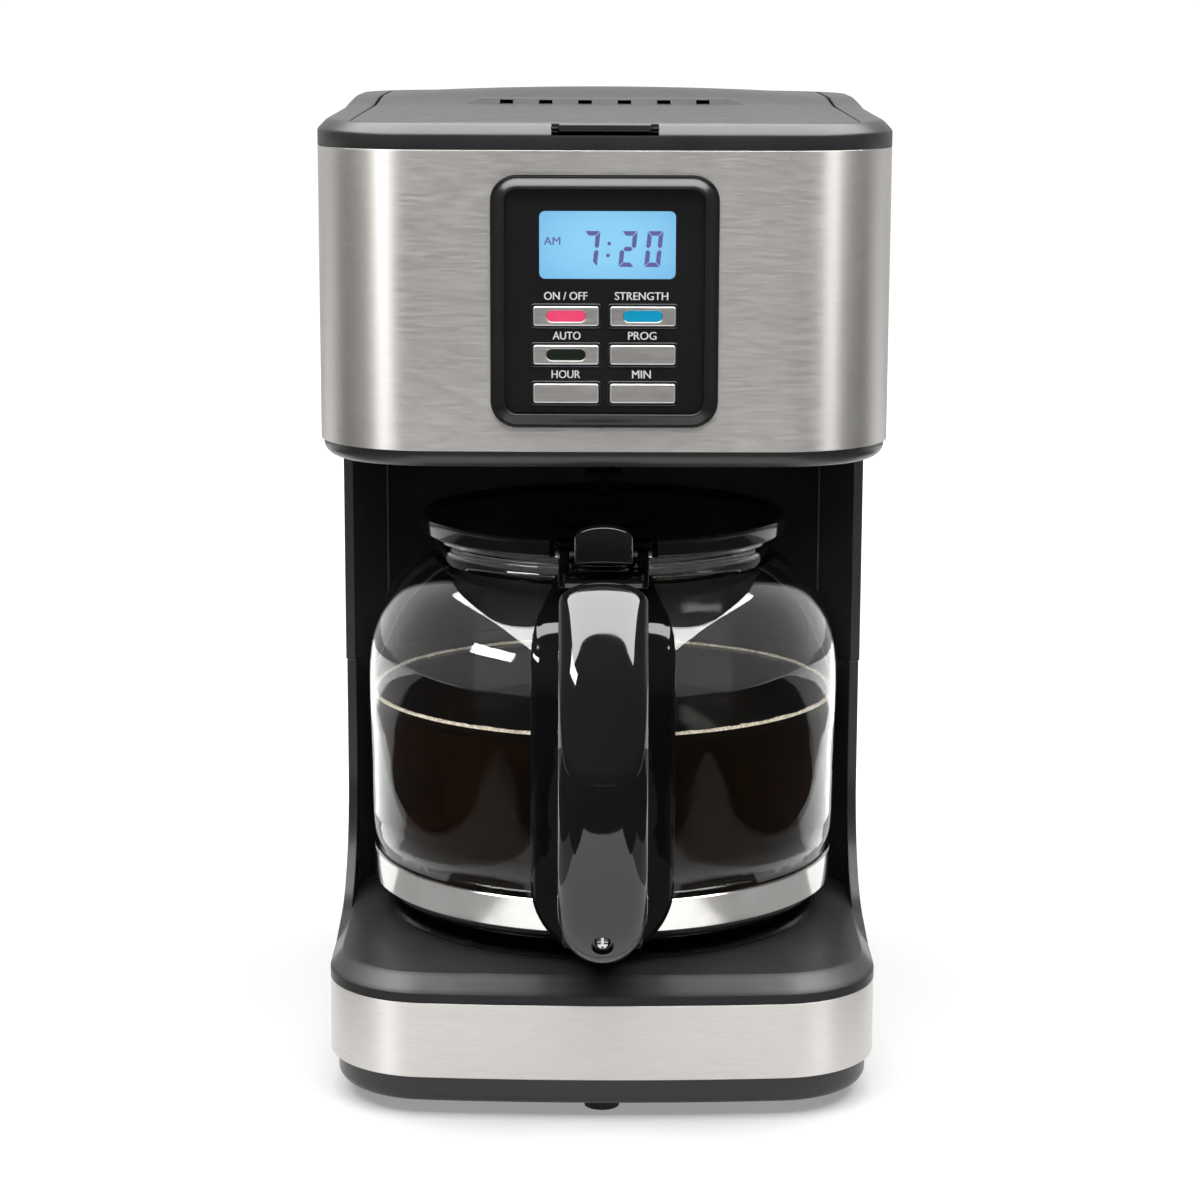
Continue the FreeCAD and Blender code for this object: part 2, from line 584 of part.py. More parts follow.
# vents and pin bores
tools = new_body("lid_openings", node=False)
sk = sketch(tools, "XZ_Plane", -132.0)
for i in range(6):
    rect(sk, -35.0 + 14 * i - 2.4, 336.75, -35.0 + 14 * i + 2.4, 338.75, 0.4)
pad(tools, sk, 20.0)
for side in (-86.0, 76.0):
    pad(tools, circle(sketch(tools, "YZ_Plane", side), q.lid_y1, q.lid_axis_z, q.lid_pin + q.fit), 10.0)
boolean("Cut", "lid", lid, tools)

group("lid_hinge_pins", [cylinder("lid_pin_l", -88.0, q.lid_y1, q.lid_axis_z, q.lid_pin, 11.5, "x"),
                         cylinder("lid_pin_r", 76.5, q.lid_y1, q.lid_axis_z, q.lid_pin, 11.5, "x")])

spray = new_body("spray_head")
pad(spray, circle(sketch(spray, "XY_Plane", 324.0), 0.0, q.carafe_y, 40.0), 5.0)
sk = sketch(spray, "XY_Plane", 325.8)
ang = math.atan2(q.riser_y.v - q.carafe_y.v, q.riser_x.v)
nx, ny = -6.0 * math.sin(ang), 6.0 * math.cos(ang)
path(sk, [(-nx, q.carafe_y - ny), (q.riser_x - nx, q.riser_y - ny), (q.riser_x + nx, q.riser_y + ny), (nx, q.carafe_y + ny)])
pad(spray, sk, 5.0)
pad(spray, circle(sketch(spray, "XY_Plane", 325.8), q.riser_x, q.riser_y, 6.0), 5.0)
cut(spray, circle(sketch(spray, "XY_Plane", 325.0), q.riser_x, q.riser_y, 4.0), 3.5)
pad(spray, circle(sketch(spray, "XY_Plane", 328.0), 0.0, q.carafe_y, 11.0), 7.2)
sk = sketch(spray, "XY_Plane", 323.0)
for ring, count in ((12.0, 6), (24.0, 12), (34.0, 16)):
    for i in range(count):
        a = 2 * math.pi * i / count
        circle(sk, ring * math.cos(a), q.carafe_y + ring * math.sin(a), 1.2)
cut(spray, sk, 3.2)

# =====================================================================
# Brew basket and drip stop
# =====================================================================
basket = new_body("brew_basket", y=q.carafe_y)
t = 2.0
sk = sketch(basket, "XZ_Plane")
path(sk, [(q.bask_bore - 3.4, q.bask_z0), (q.bask_bore, q.bask_z0), (q.bask_bore, q.bask_nz), (q.bask_neck, q.bask_nz),
          (q.bask_neck, q.bask_z0), (q.bask_r0, q.bask_z0 + 4), (q.bask_r1, q.bask_z1 - 2), (q.bask_rim, q.bask_z1 - 2),
          (q.bask_rim, q.bask_z1 + 0.2), (q.bask_r1 - t, q.bask_z1 + 0.2), (q.bask_r0 - t, q.bask_z0 + 6.2),
          (q.bask_bore - 3.4, q.bask_z0 + 2.2)])
revolve(basket, sk)

plunger = new_body("drip_stop_plunger", y=q.carafe_y)
sk = sketch(plunger, "XZ_Plane")
path(sk, [(0.0, q.nose_z), (3.4, q.nose_z), (5.0, q.nose_z + 1.2), (5.0, q.nose_z + 3), (q.stem_r, q.nose_z + 5),
          (q.stem_r, 206.0), (6.6, 206.0), (6.6, 207.6), (q.stem_r, 207.6), (q.stem_r, 245.8), (7.0, 245.8), (7.0, 247.6), (0.0, 247.6)])
revolve(plunger, sk)

seal = doc.addObject("Part::Torus", "drip_stop_seal")
seal.Radius1, seal.Radius2 = 5.2, 0.9
place(seal, 0.0, q.carafe_y, 244.85)
keep(seal, "drip_stop_seal")

# coil around the stem, from the flange up to the basket floor
helix = Part.makeHelix(4.1, 28.6, 4.1)
ring = Part.Wire([Part.makeCircle(0.42, V(4.1, 0, 0), V(0, 1, 0.16))])
coil = Part.Wire(helix).makePipeShell([ring], True, True)
spring = doc.addObject("Part::Feature", "drip_stop_spring")
spring.Shape = coil
place(spring, 0.0, q.carafe_y, 208.3)
keep(spring, "drip_stop_spring")

# =====================================================================
# Water tank, check valve, heater and hoses
# =====================================================================
tank = new_body("water_tank")


def tank_plan(sk, y0, inset, ro):
    hw, y0, yb = q.tank_hw - inset, y0 + inset, q.tank_y1 - inset
    pts = [(hw, y0), (hw, yb - ro), (hw - ro, yb), (ro - hw, yb), (-hw, yb - ro), (-hw, y0)]
    return path(sk, pts, {1: (ro, (hw - ro, yb - ro), True), 3: (ro, (ro - hw, yb - ro), True)})


w = q.tank_wall
pad(tank, tank_plan(sketch(tank, "XY_Plane", q.tank_z0), q.tank_y0, 0.0, 33.0), q.tank_z1 - q.tank_z0)
pad(tank, tank_plan(sketch(tank, "XY_Plane", q.tank_zu), q.tank_yu, 0.0, 33.0), q.tank_z1 - q.tank_zu)
cut(tank, tank_plan(sketch(tank, "XY_Plane", q.tank_z0 + w), q.tank_y0, w, 29.0), 300.0)
cut(tank, tank_plan(sketch(tank, "XY_Plane", q.tank_zu + w), q.tank_yu, w, 31.0), 200.0)
cut(tank, circle(sketch(tank, "XY_Plane", q.tank_z0 - 5), -q.heat_x, 214.0, 4.0), 10.0)

valve = new_body("check_valve_body", x=-q.heat_x, y=214.0)
sk = sketch(valve, "XZ_Plane")
path(sk, [(2.6, 48.0), (7.0, 48.0), (7.0, 66.5), (10.0, 66.5), (10.0, 69.8), (2.6, 69.8), (2.6, 63.0), (4.6, 63.0), (4.6, 52.0), (2.6, 52.0)])
revolve(valve, sk)
ball = doc.addObject("Part::Sphere", "check_valve_ball")
ball.Radius = 3.4
place(ball, -q.heat_x, 214.0, 54.6)
keep(ball, "check_valve_ball")

hx, hz = q.heat_x, q.heat_z
tube("cold_water_hose", [(-hx, 214.0, 47.9), (-hx, 214.0, hz - 2), (-hx, 138.3, hz - 2)], 9.0, q.hose_r - 0.5, q.bore_r - 0.6)
tube("heater_tube", [(-hx, 138.0, hz), (-hx, 49.0, hz), (hx, 49.0, hz), (hx, 138.0, hz)], 54.0, q.heat_r, q.bore_r)
ex = hx - 9.3
tube("heating_element", [(-ex, 146.0, hz), (-ex, 58.3, hz), (ex, 58.3, hz), (ex, 146.0, hz)], 44.0, 4.0)
tube("riser_hose", [(hx, 138.3, hz), (hx, 148.0, hz), (q.riser_x, q.riser_y, hz), (q.riser_x, q.riser_y, 325.3)], 12.0, q.hose_r - 0.5, q.bore_r)

spreader = new_body("heat_spreader", y=q.carafe_y)
pad(spreader, circle(sketch(spreader, "XY_Plane", hz + q.heat_r + 0.1), 0.0, 0.0, 66.0), 4.0)
clamp = new_body("heater_clamp")
pad(clamp, rect(sketch(clamp, "XY_Plane", hz - q.heat_r - 1.4), -64.0, 98.0, 64.0, 112.0, 3.0), 1.2)
cylinder("clamp_screw", 0.0, q.carafe_y, hz - q.heat_r - 3.5, 3.0, 2.0, node=True)
thermo = new_body("thermostat", y=q.carafe_y - 24)
pad(thermo, circle(sketch(thermo, "XY_Plane", hz + 0.9), 0.0, 0.0, 9.0), 4.0)
pad(thermo, circle(sketch(thermo, "XY_Plane", hz - 4.5), 0.0, 0.0, 7.0), 5.6)
cylinder("thermal_fuse", -9.0, q.carafe_y + 24, hz + 1.6, 2.6, 18.0, "x", node=True)

# hot plate: pressed dish, on a ring that seals it to the deck
ring = new_body("hot_plate_seal", y=q.carafe_y)
sk = sketch(ring, "XZ_Plane")
path(sk, [(q.plate_rad + 0.3, q.deck_z + 0.05), (q.ring_rad, q.deck_z + 0.05), (q.ring_rad, q.deck_z + 0.7), (q.ring_rad - 1.4, q.plate_z),
          (q.ring_rad - 3.2, q.plate_z), (q.plate_rad + 0.3, q.plate_z - 0.6)])
revolve(ring, sk)
plate = new_body("hot_plate", y=q.carafe_y)
sk = sketch(plate, "XZ_Plane")
path(sk, [(0.0, q.plate_z - 1.2), (q.plate_rad - 5, q.plate_z - 1.2), (q.plate_rad - 4, q.plate_z - 2.4), (q.plate_rad, q.plate_z - 2.4),
          (q.plate_rad, q.plate_z - 0.9), (q.plate_rad - 2.4, q.plate_z - 0.9), (q.plate_rad - 3.4, q.plate_z), (0.0, q.plate_z)])
revolve(plate, sk)

# =====================================================================
# Electrics
# =====================================================================
box("power_board", -40.0, 176.0, 18.0, 80.0, 44.0, 1.6, node=True)
group("power_components", [box("relay", -34.0, 182.0, 19.65, 19.0, 15.0, 12.0), box("transformer", -8.0, 186.0, 19.65, 26.0, 22.0, 12.5),
                           cylinder("capacitor", 30.0, 192.0, 19.65, 5.0, 11.0)])

# =====================================================================
# Control panel
# =====================================================================
pz = q.panel_zc
bezel = new_body("panel_bezel")
pad(bezel, rect(sketch(bezel, "XZ_Plane", 0.1), -q.bezel_w / 2, pz - q.bezel_h / 2, q.bezel_w / 2, pz + q.bezel_h / 2, q.bezel_r), 2.0)
fillet(bezel, at_y(-2.1), 1.6)
pad(bezel, rect(sketch(bezel, "XZ_Plane", -4.4), -32.9, pz - 36.9, 32.9, pz + 36.9, 2.8), 4.6)
cut(bezel, rect(sketch(bezel, "XZ_Plane", -10.0), -q.plate_w / 2, pz - q.plate_h / 2, q.plate_w / 2, pz + q.plate_h / 2, q.plate_r), 20.0)
fillet(bezel, lambda e: e.BoundBox.YMin > -2.11 and e.BoundBox.YMax < -2.09 and e.BoundBox.XMax < q.plate_w.v / 2 + 0.1
       and e.BoundBox.XMin > -q.plate_w.v / 2 - 0.1 and e.BoundBox.ZMin > pz.v - 36.1 and e.BoundBox.ZMax < pz.v + 36.1, 0.9, "Chamfer")

rows = (q.row_a, q.row_b, q.row_c)
face = new_body("panel_plate")
g = 0.12
pad(face, rect(sketch(face, "XZ_Plane", -2.7), g - q.plate_w / 2, pz - q.plate_h / 2 + g, q.plate_w / 2 - g, pz + q.plate_h / 2 - g, q.plate_r - g), 3.0)
sk = sketch(face, "XZ_Plane", -6.0)
for rz in rows:
    for sx in (-1, 1):
        cx = sx * q.btn_dx
        rect(sk, cx - q.btn_w / 2 - q.btn_gap, rz - q.btn_h / 2 - q.btn_gap, cx + q.btn_w / 2 + q.btn_gap, rz + q.btn_h / 2 + q.btn_gap, 0.9)
cut(face, sk, 10.0)
cut(face, rect(sketch(face, "XZ_Plane", -6.0), -q.lcd_w / 2 + 0.9, q.lcd_zc - q.lcd_h / 2, q.lcd_w / 2 + 0.9, q.lcd_zc + q.lcd_h / 2, q.lcd_r), 10.0)

lens = new_body("lcd_window")
pad(lens, rect(sketch(lens, "XZ_Plane", -1.4), -q.lcd_w / 2 + 1.0, q.lcd_zc - q.lcd_h / 2 + 0.1, q.lcd_w / 2 + 0.8, q.lcd_zc + q.lcd_h / 2 - 0.1, q.lcd_r - 0.1), 1.6)
box("lcd_module", -24.0, 3.0, q.lcd_zc - 12.6, 49.6, 4.0, 25.2, node=True)

names = [("on_off", 0, -1, True), ("strength", 0, 1, True), ("auto", 1, -1, True),
         ("program", 1, 1, False), ("hour", 2, -1, False), ("minute", 2, 1, False)]
for nm, row, sx, lit in names:
    b = new_body("button_" + nm, x=sx * q.btn_dx, z=rows[row])
    pad(b, rect(sketch(b, "XZ_Plane", -4.2), -q.btn_w / 2, -q.btn_h / 2, q.btn_w / 2, q.btn_h / 2, 0.6), 5.2)
    fillet(b, at_y(-1.0), 0.45)
    pad(b, rect(sketch(b, "XZ_Plane", -4.3), -q.btn_w / 2 - 0.9, -q.btn_h / 2 - 0.9, q.btn_w / 2 + 0.9, q.btn_h / 2 + 0.9, 0.6), 1.2)
    pad(b, circle(sketch(b, "XZ_Plane", -5.6), 7.6, 0.0, 1.5), 1.4)
    if lit:
        cut(b, rect(sketch(b, "XZ_Plane", -12.0), -q.led_w / 2, -q.led_h / 2, q.led_w / 2, q.led_h / 2, 1.84), 20.0)
        d = new_body("led_" + nm, x=sx * q.btn_dx, z=rows[row])
        pad(d, rect(sketch(d, "XZ_Plane", -4.0), 0.08 - q.led_w / 2, 0.08 - q.led_h / 2, q.led_w / 2 - 0.08, q.led_h / 2 - 0.08, 1.76), 4.75)
        fillet(d, at_y(-0.75), 0.3)

board = new_body("control_board")
pad(board, rect(sketch(board, "XZ_Plane", -10.8), -31.5, pz - 36.0, 31.5, pz + 32.0, 1.0), 1.6)
group("tact_switches", [box("tact_%d%d" % (r, s), s * q.btn_dx + 7.6 - 3, 7.1, rows[r] - 3, 6.0, 2.0, 6.0)
                        for r in range(3) for s in (-1, 1)])
group("board_screws", [cylinder("pcb_screw_%d" % i, x, 10.9, z, 2.2, 1.6, "y")
                       for i, (x, z) in enumerate(((-28.5, 246.0), (28.5, 246.0), (-28.5, 306.0), (28.5, 306.0)))])

# =====================================================================
# Carafe
# =====================================================================
OUTER = [(66.0, 50.4), (74.2, 52.6), (80.0, 57.0), (82.3, 62.0), (82.4, 71.0), (83.7, 75.5), (84.5, 83.0), (84.6, 100.0),
         (85.0, 118.0), (85.2, 136.0), (84.5, 145.0), (82.5, 153.5), (79.0, 161.2), (73.4, 169.0), (66.6, 174.6), (61.6, 177.6)]


def glass_shape():
    """Blown pot: a spline outside, the same line moved in by the wall inside."""
    def side(shift):
        pts = []
        for i, (r, z) in enumerate(OUTER):
            a = OUTER[max(i - 1, 0)]
            b = OUTER[min(i + 1, len(OUTER) - 1)]
            dx, dz = b[0] - a[0], b[1] - a[1]
            n = math.hypot(dx, dz)
            pts.append(V(r - shift * dz / n, 0, z + shift * dx / n))
        return pts
    th = q.glass_th.v
    outer, inner = side(0.0), side(th)
    inner[0] = V(64.6, 0, q.glass_z0.v + th)
    o = Part.BSplineCurve(); o.interpolate(outer)
    i = Part.BSplineCurve(); i.interpolate(inner)
    nr, nz = q.neck_r.v, q.neck_z.v
    edges = [Part.LineSegment(V(0, 0, q.glass_z0.v), outer[0]).toShape(), o.toShape(),
             Part.Arc(outer[-1], V(nr - 0.9, 0, 180.0), V(nr + 0.3, 0, 184.4)).toShape(),
             Part.LineSegment(V(nr + 0.3, 0, 184.4), V(nr, 0, nz)).toShape(),
             Part.LineSegment(V(nr, 0, nz), V(nr - th, 0, nz)).toShape(),
             Part.LineSegment(V(nr - th, 0, nz), inner[-1]).toShape(), i.toShape(),
             Part.LineSegment(inner[0], V(0, 0, q.glass_z0.v + th)).toShape(),
             Part.LineSegment(V(0, 0, q.glass_z0.v + th), V(0, 0, q.glass_z0.v)).toShape()]
    face = Part.Face(Part.Wire(Part.__sortEdges__(edges)))
    return face.revolve(V(0, 0, 0), V(0, 0, 1), 360)


glass = doc.addObject("Part::Feature", "carafe_glass")
glass.Shape = glass_shape()
place(glass, 0.0, q.carafe_y)
keep(glass, "carafe_glass")

hoop = new_body("carafe_band", y=q.carafe_y)
sk = sketch(hoop, "XZ_Plane")
path(sk, [(q.ring_ri, q.ring_z0), (q.ring_ro - 0.3, q.ring_z0), (q.ring_ro, q.ring_z0 + 0.4), (q.ring_ro, q.ring_z1 - 0.4),
          (q.ring_ro - 0.3, q.ring_z1), (q.ring_ri, q.ring_z1)])
revolve(hoop, sk)

# knuckle guard: a strip that follows the glass from the neck to the band
guard = new_body("guard_strip", y=q.carafe_y, node=False)
sk = sketch(guard, "XZ_Plane")
gin = [(83.9, 56.0), (83.9, 73.0), (85.2, 82.0), (85.3, 100.0), (85.7, 118.0), (85.9, 137.0), (85.2, 145.6), (83.2, 154.2),
       (79.6, 162.0), (73.9, 169.8), (67.2, 175.6), (62.8, 178.6)]
gout = [(r + 3.2 * max(0.35, min(1.0, (180 - z) / 30.0)), z + (0.0 if z < 150 else 1.6)) for r, z in gin]
path(sk, [(r, z) for r, z in gin] + [(r, z) for r, z in reversed(gout)])
revolve(guard, sk, 50.0, sym=True)
guard.Placement = FreeCAD.Placement(guard.Placement.Base, FreeCAD.Rotation(V(0, 0, 1), -90))
shield = new_body("guard_front", node=False)
sk = sketch(shield, "XZ_Plane", -60.0)
hw = q.guard_w / 2
path(sk, [(-hw, 74.0), (hw, 74.0), (hw, 160.0), (hw - 5.5, 172.0), (16.6, 190.0), (-16.6, 190.0), (5.5 - hw, 172.0), (-hw, 160.0)],
     {0: (24.6, (0.0, 76.2), True)})
pad(shield, sk, 80.0)
doc.recompute()
guard_part = boolean("Common", "guard_part", guard, shield, node=False)

# grip: closed loop in side view, from the neck out and back to the band.  FRONT is its outer line (y, z) with the
# thickness of the cover there
FRONT = [(-2.4, 188.0, 7.0), (-7.4, 184.5, 8.0), (-14.0, 178.0, 9.2), (-20.9, 169.5, 9.6), (-27.0, 160.5, 9.6), (-31.3, 151.0, 9.6),
         (-34.6, 141.0, 9.6), (-36.7, 131.0, 9.6), (-37.7, 121.0, 9.6), (-38.0, 112.0, 9.6), (-37.7, 102.0, 9.6), (-36.2, 90.0, 9.6),
         (-32.4, 77.5, 9.2), (-25.6, 67.0, 8.0), (-15.8, 60.2, 6.2), (-5.0, 57.3, 4.8), (4.0, 56.6, 4.4)]
INNER = [(31.0, 171.5), (22.0, 171.8), (12.0, 171.0), (3.0, 167.6), (-4.8, 161.8), (-10.8, 153.5), (-14.8, 143.5), (-17.0, 132.0),
         (-17.9, 120.0), (-18.0, 108.0), (-17.4, 97.0), (-14.8, 87.0), (-9.6, 78.6), (-2.0, 73.6), (7.0, 72.0), (19.4, 72.0)]


def moved_in(extra):
    """The outer line moved inwards by the cover's thickness and a little more."""
    pts = []
    for i, (y, z, t) in enumerate(FRONT):
        a, b = FRONT[max(i - 1, 0)], FRONT[min(i + 1, len(FRONT) - 1)]
        dy, dz = b[0] - a[0], b[1] - a[1]
        n = math.hypot(dy, dz)
        pts.append((y - (t + extra) * dz / n, z + (t + extra) * dy / n))
    return pts


def spline(pts):
    c = Part.BSplineCurve()
    c.interpolate([V(0, y, z) for y, z in pts])
    return c.toShape()


def run(*pts):
    return [Part.LineSegment(V(0, *a), V(0, *b)).toShape() for a, b in zip(pts, pts[1:])]


def slab(edges, width):
    face = Part.Face(Part.Wire(Part.__sortEdges__(edges)))
    face.translate(V(-width / 2, 0, 0))
    return face.extrude(V(width, 0, 0))


seat = moved_in(0.4)
core = doc.addObject("Part::Feature", "grip_core")
core.Shape = slab(run((39.0, 183.2), (30.0, 184.6), (16.0, 185.6), (6.0, 186.0), (-0.5, 185.8), (2.3, 181.9), seat[1]) + [spline(seat[1:])]
                  + run(seat[-1], (19.4, 61.0), (19.4, 72.0)) + [spline(list(reversed(INNER)))] + run((31.0, 171.5), (39.0, 176.0), (39.0, 183.2)),
                  q.grip_w.v - 3.0)
sides = [e for e in core.Shape.Edges if e.BoundBox.XLength < 0.01 and e.BoundBox.ZLength > 90 and e.BoundBox.YMax > 18]
core.Shape = core.Shape.makeFillet(3.0, sides)
place(core)
doc.recompute()
handle = boolean("Fuse", "handle_loop", guard_part, core, node=False)
# lugs that carry the carafe lid's hinge pin
lugs = new_body("lid_lugs", node=False)
sk = sketch(lugs, "YZ_Plane")
path(sk, [(q.clid_hy - 4.2, 178.0), (q.clid_hy + 2.6, 178.0), (q.clid_hy + 2.6, q.clid_hz), (q.clid_hy - 2.6, q.clid_hz + 1.6), (q.clid_hy - 4.2, q.clid_hz)])
pad(lugs, sk, 33.0, sym=True)
fillet(lugs, lambda e: e.BoundBox.XLength > 30 and e.BoundBox.ZMin > 187, 1.6)
cut(lugs, rect(sketch(lugs, "XY_Plane", 184.0), -10.3, 20.0, 10.3, 60.0), 20.0)
cut(lugs, circle(sketch(lugs, "YZ_Plane", -30.0), q.clid_hy, q.clid_hz, 1.5), 60.0)
handle = boolean("Fuse", "handle_lugged", handle, lugs, node=False)
# keep the moulding clear of the glass and the band
core_out = new_body("glass_room", y=q.carafe_y, node=False)
sk = sketch(core_out, "XZ_Plane")
path(sk, [(0.0, 40.0), (83.75, 40.0), (83.75, 73.0), (84.75, 80.0), (84.9, 100.0), (85.3, 118.0), (85.5, 137.0), (84.8, 145.6), (82.8, 154.2),
          (79.3, 162.0), (73.6, 169.8), (66.9, 175.4), (62.2, 178.4), (61.5, 181.0), (61.5, 200.0), (0.0, 200.0)])
revolve(core_out, sk)
hole = cylinder("handle_screw_hole", 0.0, -34.0, 71.0, 1.7, 25.0, "y")
handle = boolean("Cut", "handle_cleared", handle, core_out, node=False)
boolean("Cut", "handle_body", handle, hole)

# cover: the glossy front half of the grip, with the recess and hole for the handle screw
back = moved_in(0.0)
outer = [(y, z) for y, z, t in FRONT]
shell = slab([spline(outer), spline(list(reversed(back)))] + run(outer[-1], back[-1]) + run(back[0], outer[0]), q.grip_w.v)
rims = [e for e in shell.Edges if e.BoundBox.XLength < 0.01 and e.BoundBox.YMin < -37.9]
shell = shell.makeFillet(3.6, rims)
shell = shell.cut(Part.makeCylinder(3.4, 30.0, V(0, -53.5, 71.0), V(0, 1, 0)))
shell = shell.cut(Part.makeCylinder(1.7, 40.0, V(0, -50.0, 71.0), V(0, 1, 0)))
cover = doc.addObject("Part::Feature", "handle_cover")
cover.Shape = shell
place(cover)
keep(cover, "handle_cover")
screw_h = cylinder("hs_head", 0.0, -25.2, 71.0, 3.0, 1.6, "y")
screw_s = cylinder("hs_shank", 0.0, -23.8, 71.0, 1.5, 14.0, "y")
boolean("Fuse", "handle_screw", screw_h, screw_s)

# carafe lid: rim, dished top, boss under the drip stop and a skirt in the neck
clid = new_body("carafe_lid", y=q.carafe_y)
sk = sketch(clid, "XZ_Plane")
z0, z1 = q.clid_z0 + 3.2, q.clid_z1
path(sk, [(4.0, z1 - 4.2), (53.5, z1 - 4.2), (53.5, 181.0), (55.5, 181.0), (56.2, z0), (q.neck_r + 1.0, z0), (q.neck_r + 1.0, q.clid_z0),
          (q.clid_r - 0.6, q.clid_z0), (q.clid_r, q.clid_z0 + 0.6), (q.clid_r, z1 - 0.6), (q.clid_r - 0.6, z1), (q.clid_r - 2.2, z1),
          (q.clid_r - 3.4, z1 - 1.6), (q.boss_r + 3, z1 - 2.0), (q.boss_r, q.boss_z - 0.6), (q.boss_r - 0.6, q.boss_z), (6.0, q.boss_z), (4.0, q.boss_z - 1.2)])
revolve(clid, sk)
# room for the hinge at the handle side
cut(clid, rect(sketch(clid, "XY_Plane", 170.0), -17.4, -80.0, 17.4, -59.0), 40.0)

tab = new_body("lid_thumb_lever")
sk = sketch(tab, "YZ_Plane")
path(sk, [(36.0, q.clid_hz - 2.6), (40.4, q.clid_hz - 2.6), (42.8, q.clid_hz - 1.8), (42.8, q.neck_z + 0.6), (46.0, q.neck_z + 0.6), (46.0, 193.0),
          (40.0, 193.4), (28.0, 192.9), (17.0, 194.0), (12.0, 197.6), (9.6, 202.4), (7.6, 203.9), (5.0, 203.6), (3.4, 201.6), (2.8, 196.0),
          (3.0, 191.2), (6.0, 190.7), (20.0, 189.2), (33.6, 187.6)])
pad(tab, sk, 19.2, sym=True)
for sx in (-1, 1):
    cut(tab, path(sketch(tab, "XZ_Plane", -60.0), [(sx * 9.8, 198.6), (sx * 9.8, 206.0), (sx * 3.4, 206.0), (sx * 3.4, 204.0), (sx * 6.4, 202.9), (sx * 8.4, 201.2)]), 70.0)
cut(tab, circle(sketch(tab, "YZ_Plane", -30.0), q.clid_hy, q.clid_hz, 1.55), 60.0)
cylinder("carafe_lid_pin", -16.4, q.clid_hy, q.clid_hz, 1.5, 32.8, "x", node=True)

# =====================================================================
# Check every object, then write the pieces
# =====================================================================
doc.recompute()
bad = [o.Label for o in doc.Objects if "Invalid" in o.State or "Error" in o.State]
if bad:
    raise RuntimeError("failed objects: " + ", ".join(bad))
for o in nodes:
    if o.Shape.isNull() or not o.Shape.isValid() or not o.Shape.Solids:
        raise RuntimeError("bad shape: " + o.Label)
labels = [o.Label for o in nodes]
if len(set(labels)) != len(labels) or len(labels) > 60:
    raise RuntimeError("node names")

os.makedirs("parts", exist_ok=True)
box_all = FreeCAD.BoundBox()
for o in nodes:
    box_all.add(o.Shape.BoundBox)
    o.Shape.exportStep("parts/%s.step" % o.Label)
print(len(nodes), "pieces; box", [round(c, 3) for c in (box_all.XMin, box_all.YMin, box_all.ZMin, box_all.XMax, box_all.YMax, box_all.ZMax)])
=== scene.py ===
"""Looks of the drip coffee maker: finishes of every piece, smooth shells where
the eye rests, the coffee in the carafe, light, floor and camera."""
import bpy, bmesh, math
from mathutils import Vector, Matrix, noise


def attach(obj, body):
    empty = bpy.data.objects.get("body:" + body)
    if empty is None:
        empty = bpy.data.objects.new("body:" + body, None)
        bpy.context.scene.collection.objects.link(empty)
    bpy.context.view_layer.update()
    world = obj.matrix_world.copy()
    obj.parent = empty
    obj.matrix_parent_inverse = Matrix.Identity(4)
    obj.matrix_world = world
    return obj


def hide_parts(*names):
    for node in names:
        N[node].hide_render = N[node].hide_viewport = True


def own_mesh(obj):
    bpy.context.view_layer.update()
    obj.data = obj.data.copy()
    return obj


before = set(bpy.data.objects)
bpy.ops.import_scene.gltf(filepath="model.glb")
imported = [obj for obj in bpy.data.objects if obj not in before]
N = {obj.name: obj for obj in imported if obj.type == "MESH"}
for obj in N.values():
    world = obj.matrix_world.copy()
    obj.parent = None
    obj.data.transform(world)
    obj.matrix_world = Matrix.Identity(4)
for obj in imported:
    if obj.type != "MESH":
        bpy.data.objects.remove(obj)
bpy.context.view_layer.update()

scene = bpy.context.scene
YS = -98.5          # a piece is drawn with y counted from the front of the head, in millimetres


def P(x, y, z):
    return (x / 1000.0, (y + YS) / 1000.0, z / 1000.0)


# ------------------------------------------------------------------ meshes
def make(name, verts, faces, sharp=32.0, merge=1e-6):
    me = bpy.data.meshes.new(name)
    me.from_pydata([tuple(v) for v in verts], [], faces)
    bm = bmesh.new()
    bm.from_mesh(me)
    if merge:
        bmesh.ops.remove_doubles(bm, verts=bm.verts, dist=merge)
    bmesh.ops.dissolve_degenerate(bm, edges=bm.edges, dist=1e-7)
    bmesh.ops.recalc_face_normals(bm, faces=bm.faces)
    bm.to_mesh(me)
    bm.free()
    me.shade_smooth()
    me.set_sharp_from_angle(angle=math.radians(sharp))
    ob = bpy.data.objects.new(name, me)
    scene.collection.objects.link(ob)
    return ob


class Shape:
    """Vertices and faces gathered from several closed shells."""

    def __init__(self):
        self.v, self.f = [], []

    def grid(self, rows, wrap=True, cap0=True, cap1=True):
        """Quads between rows of points; wrap closes each row on itself."""
        o, n = len(self.v), len(rows[0])
        for r in rows:
            self.v += [P(*p) for p in r]
        for i in range(len(rows) - 1):
            for j in range(n if wrap else n - 1):
                k = (j + 1) % n
                self.f.append((o + i * n + j, o + i * n + k, o + (i + 1) * n + k, o + (i + 1) * n + j))
        if wrap and cap0:
            self.f.append(tuple(o + j for j in reversed(range(n))))
        if wrap and cap1:
            self.f.append(tuple(o + (len(rows) - 1) * n + j for j in range(n)))
        return self

    def done(self, name, sharp=32.0, merge=1e-6):
        return make(name, self.v, self.f, sharp, merge)


def turned(shape, profile, cx=0.0, cy=105.0, seg=160):
    """Solid of revolution about a vertical line; profile is a closed list of (r, z)."""
    rows = []
    for i in range(seg):
        a = 2 * math.pi * i / seg
        rows.append([(cx + r * math.cos(a), cy + r * math.sin(a), z) for r, z in profile])
    rows.append(rows[0])
    shape.grid(rows, True, False, False)
    return shape


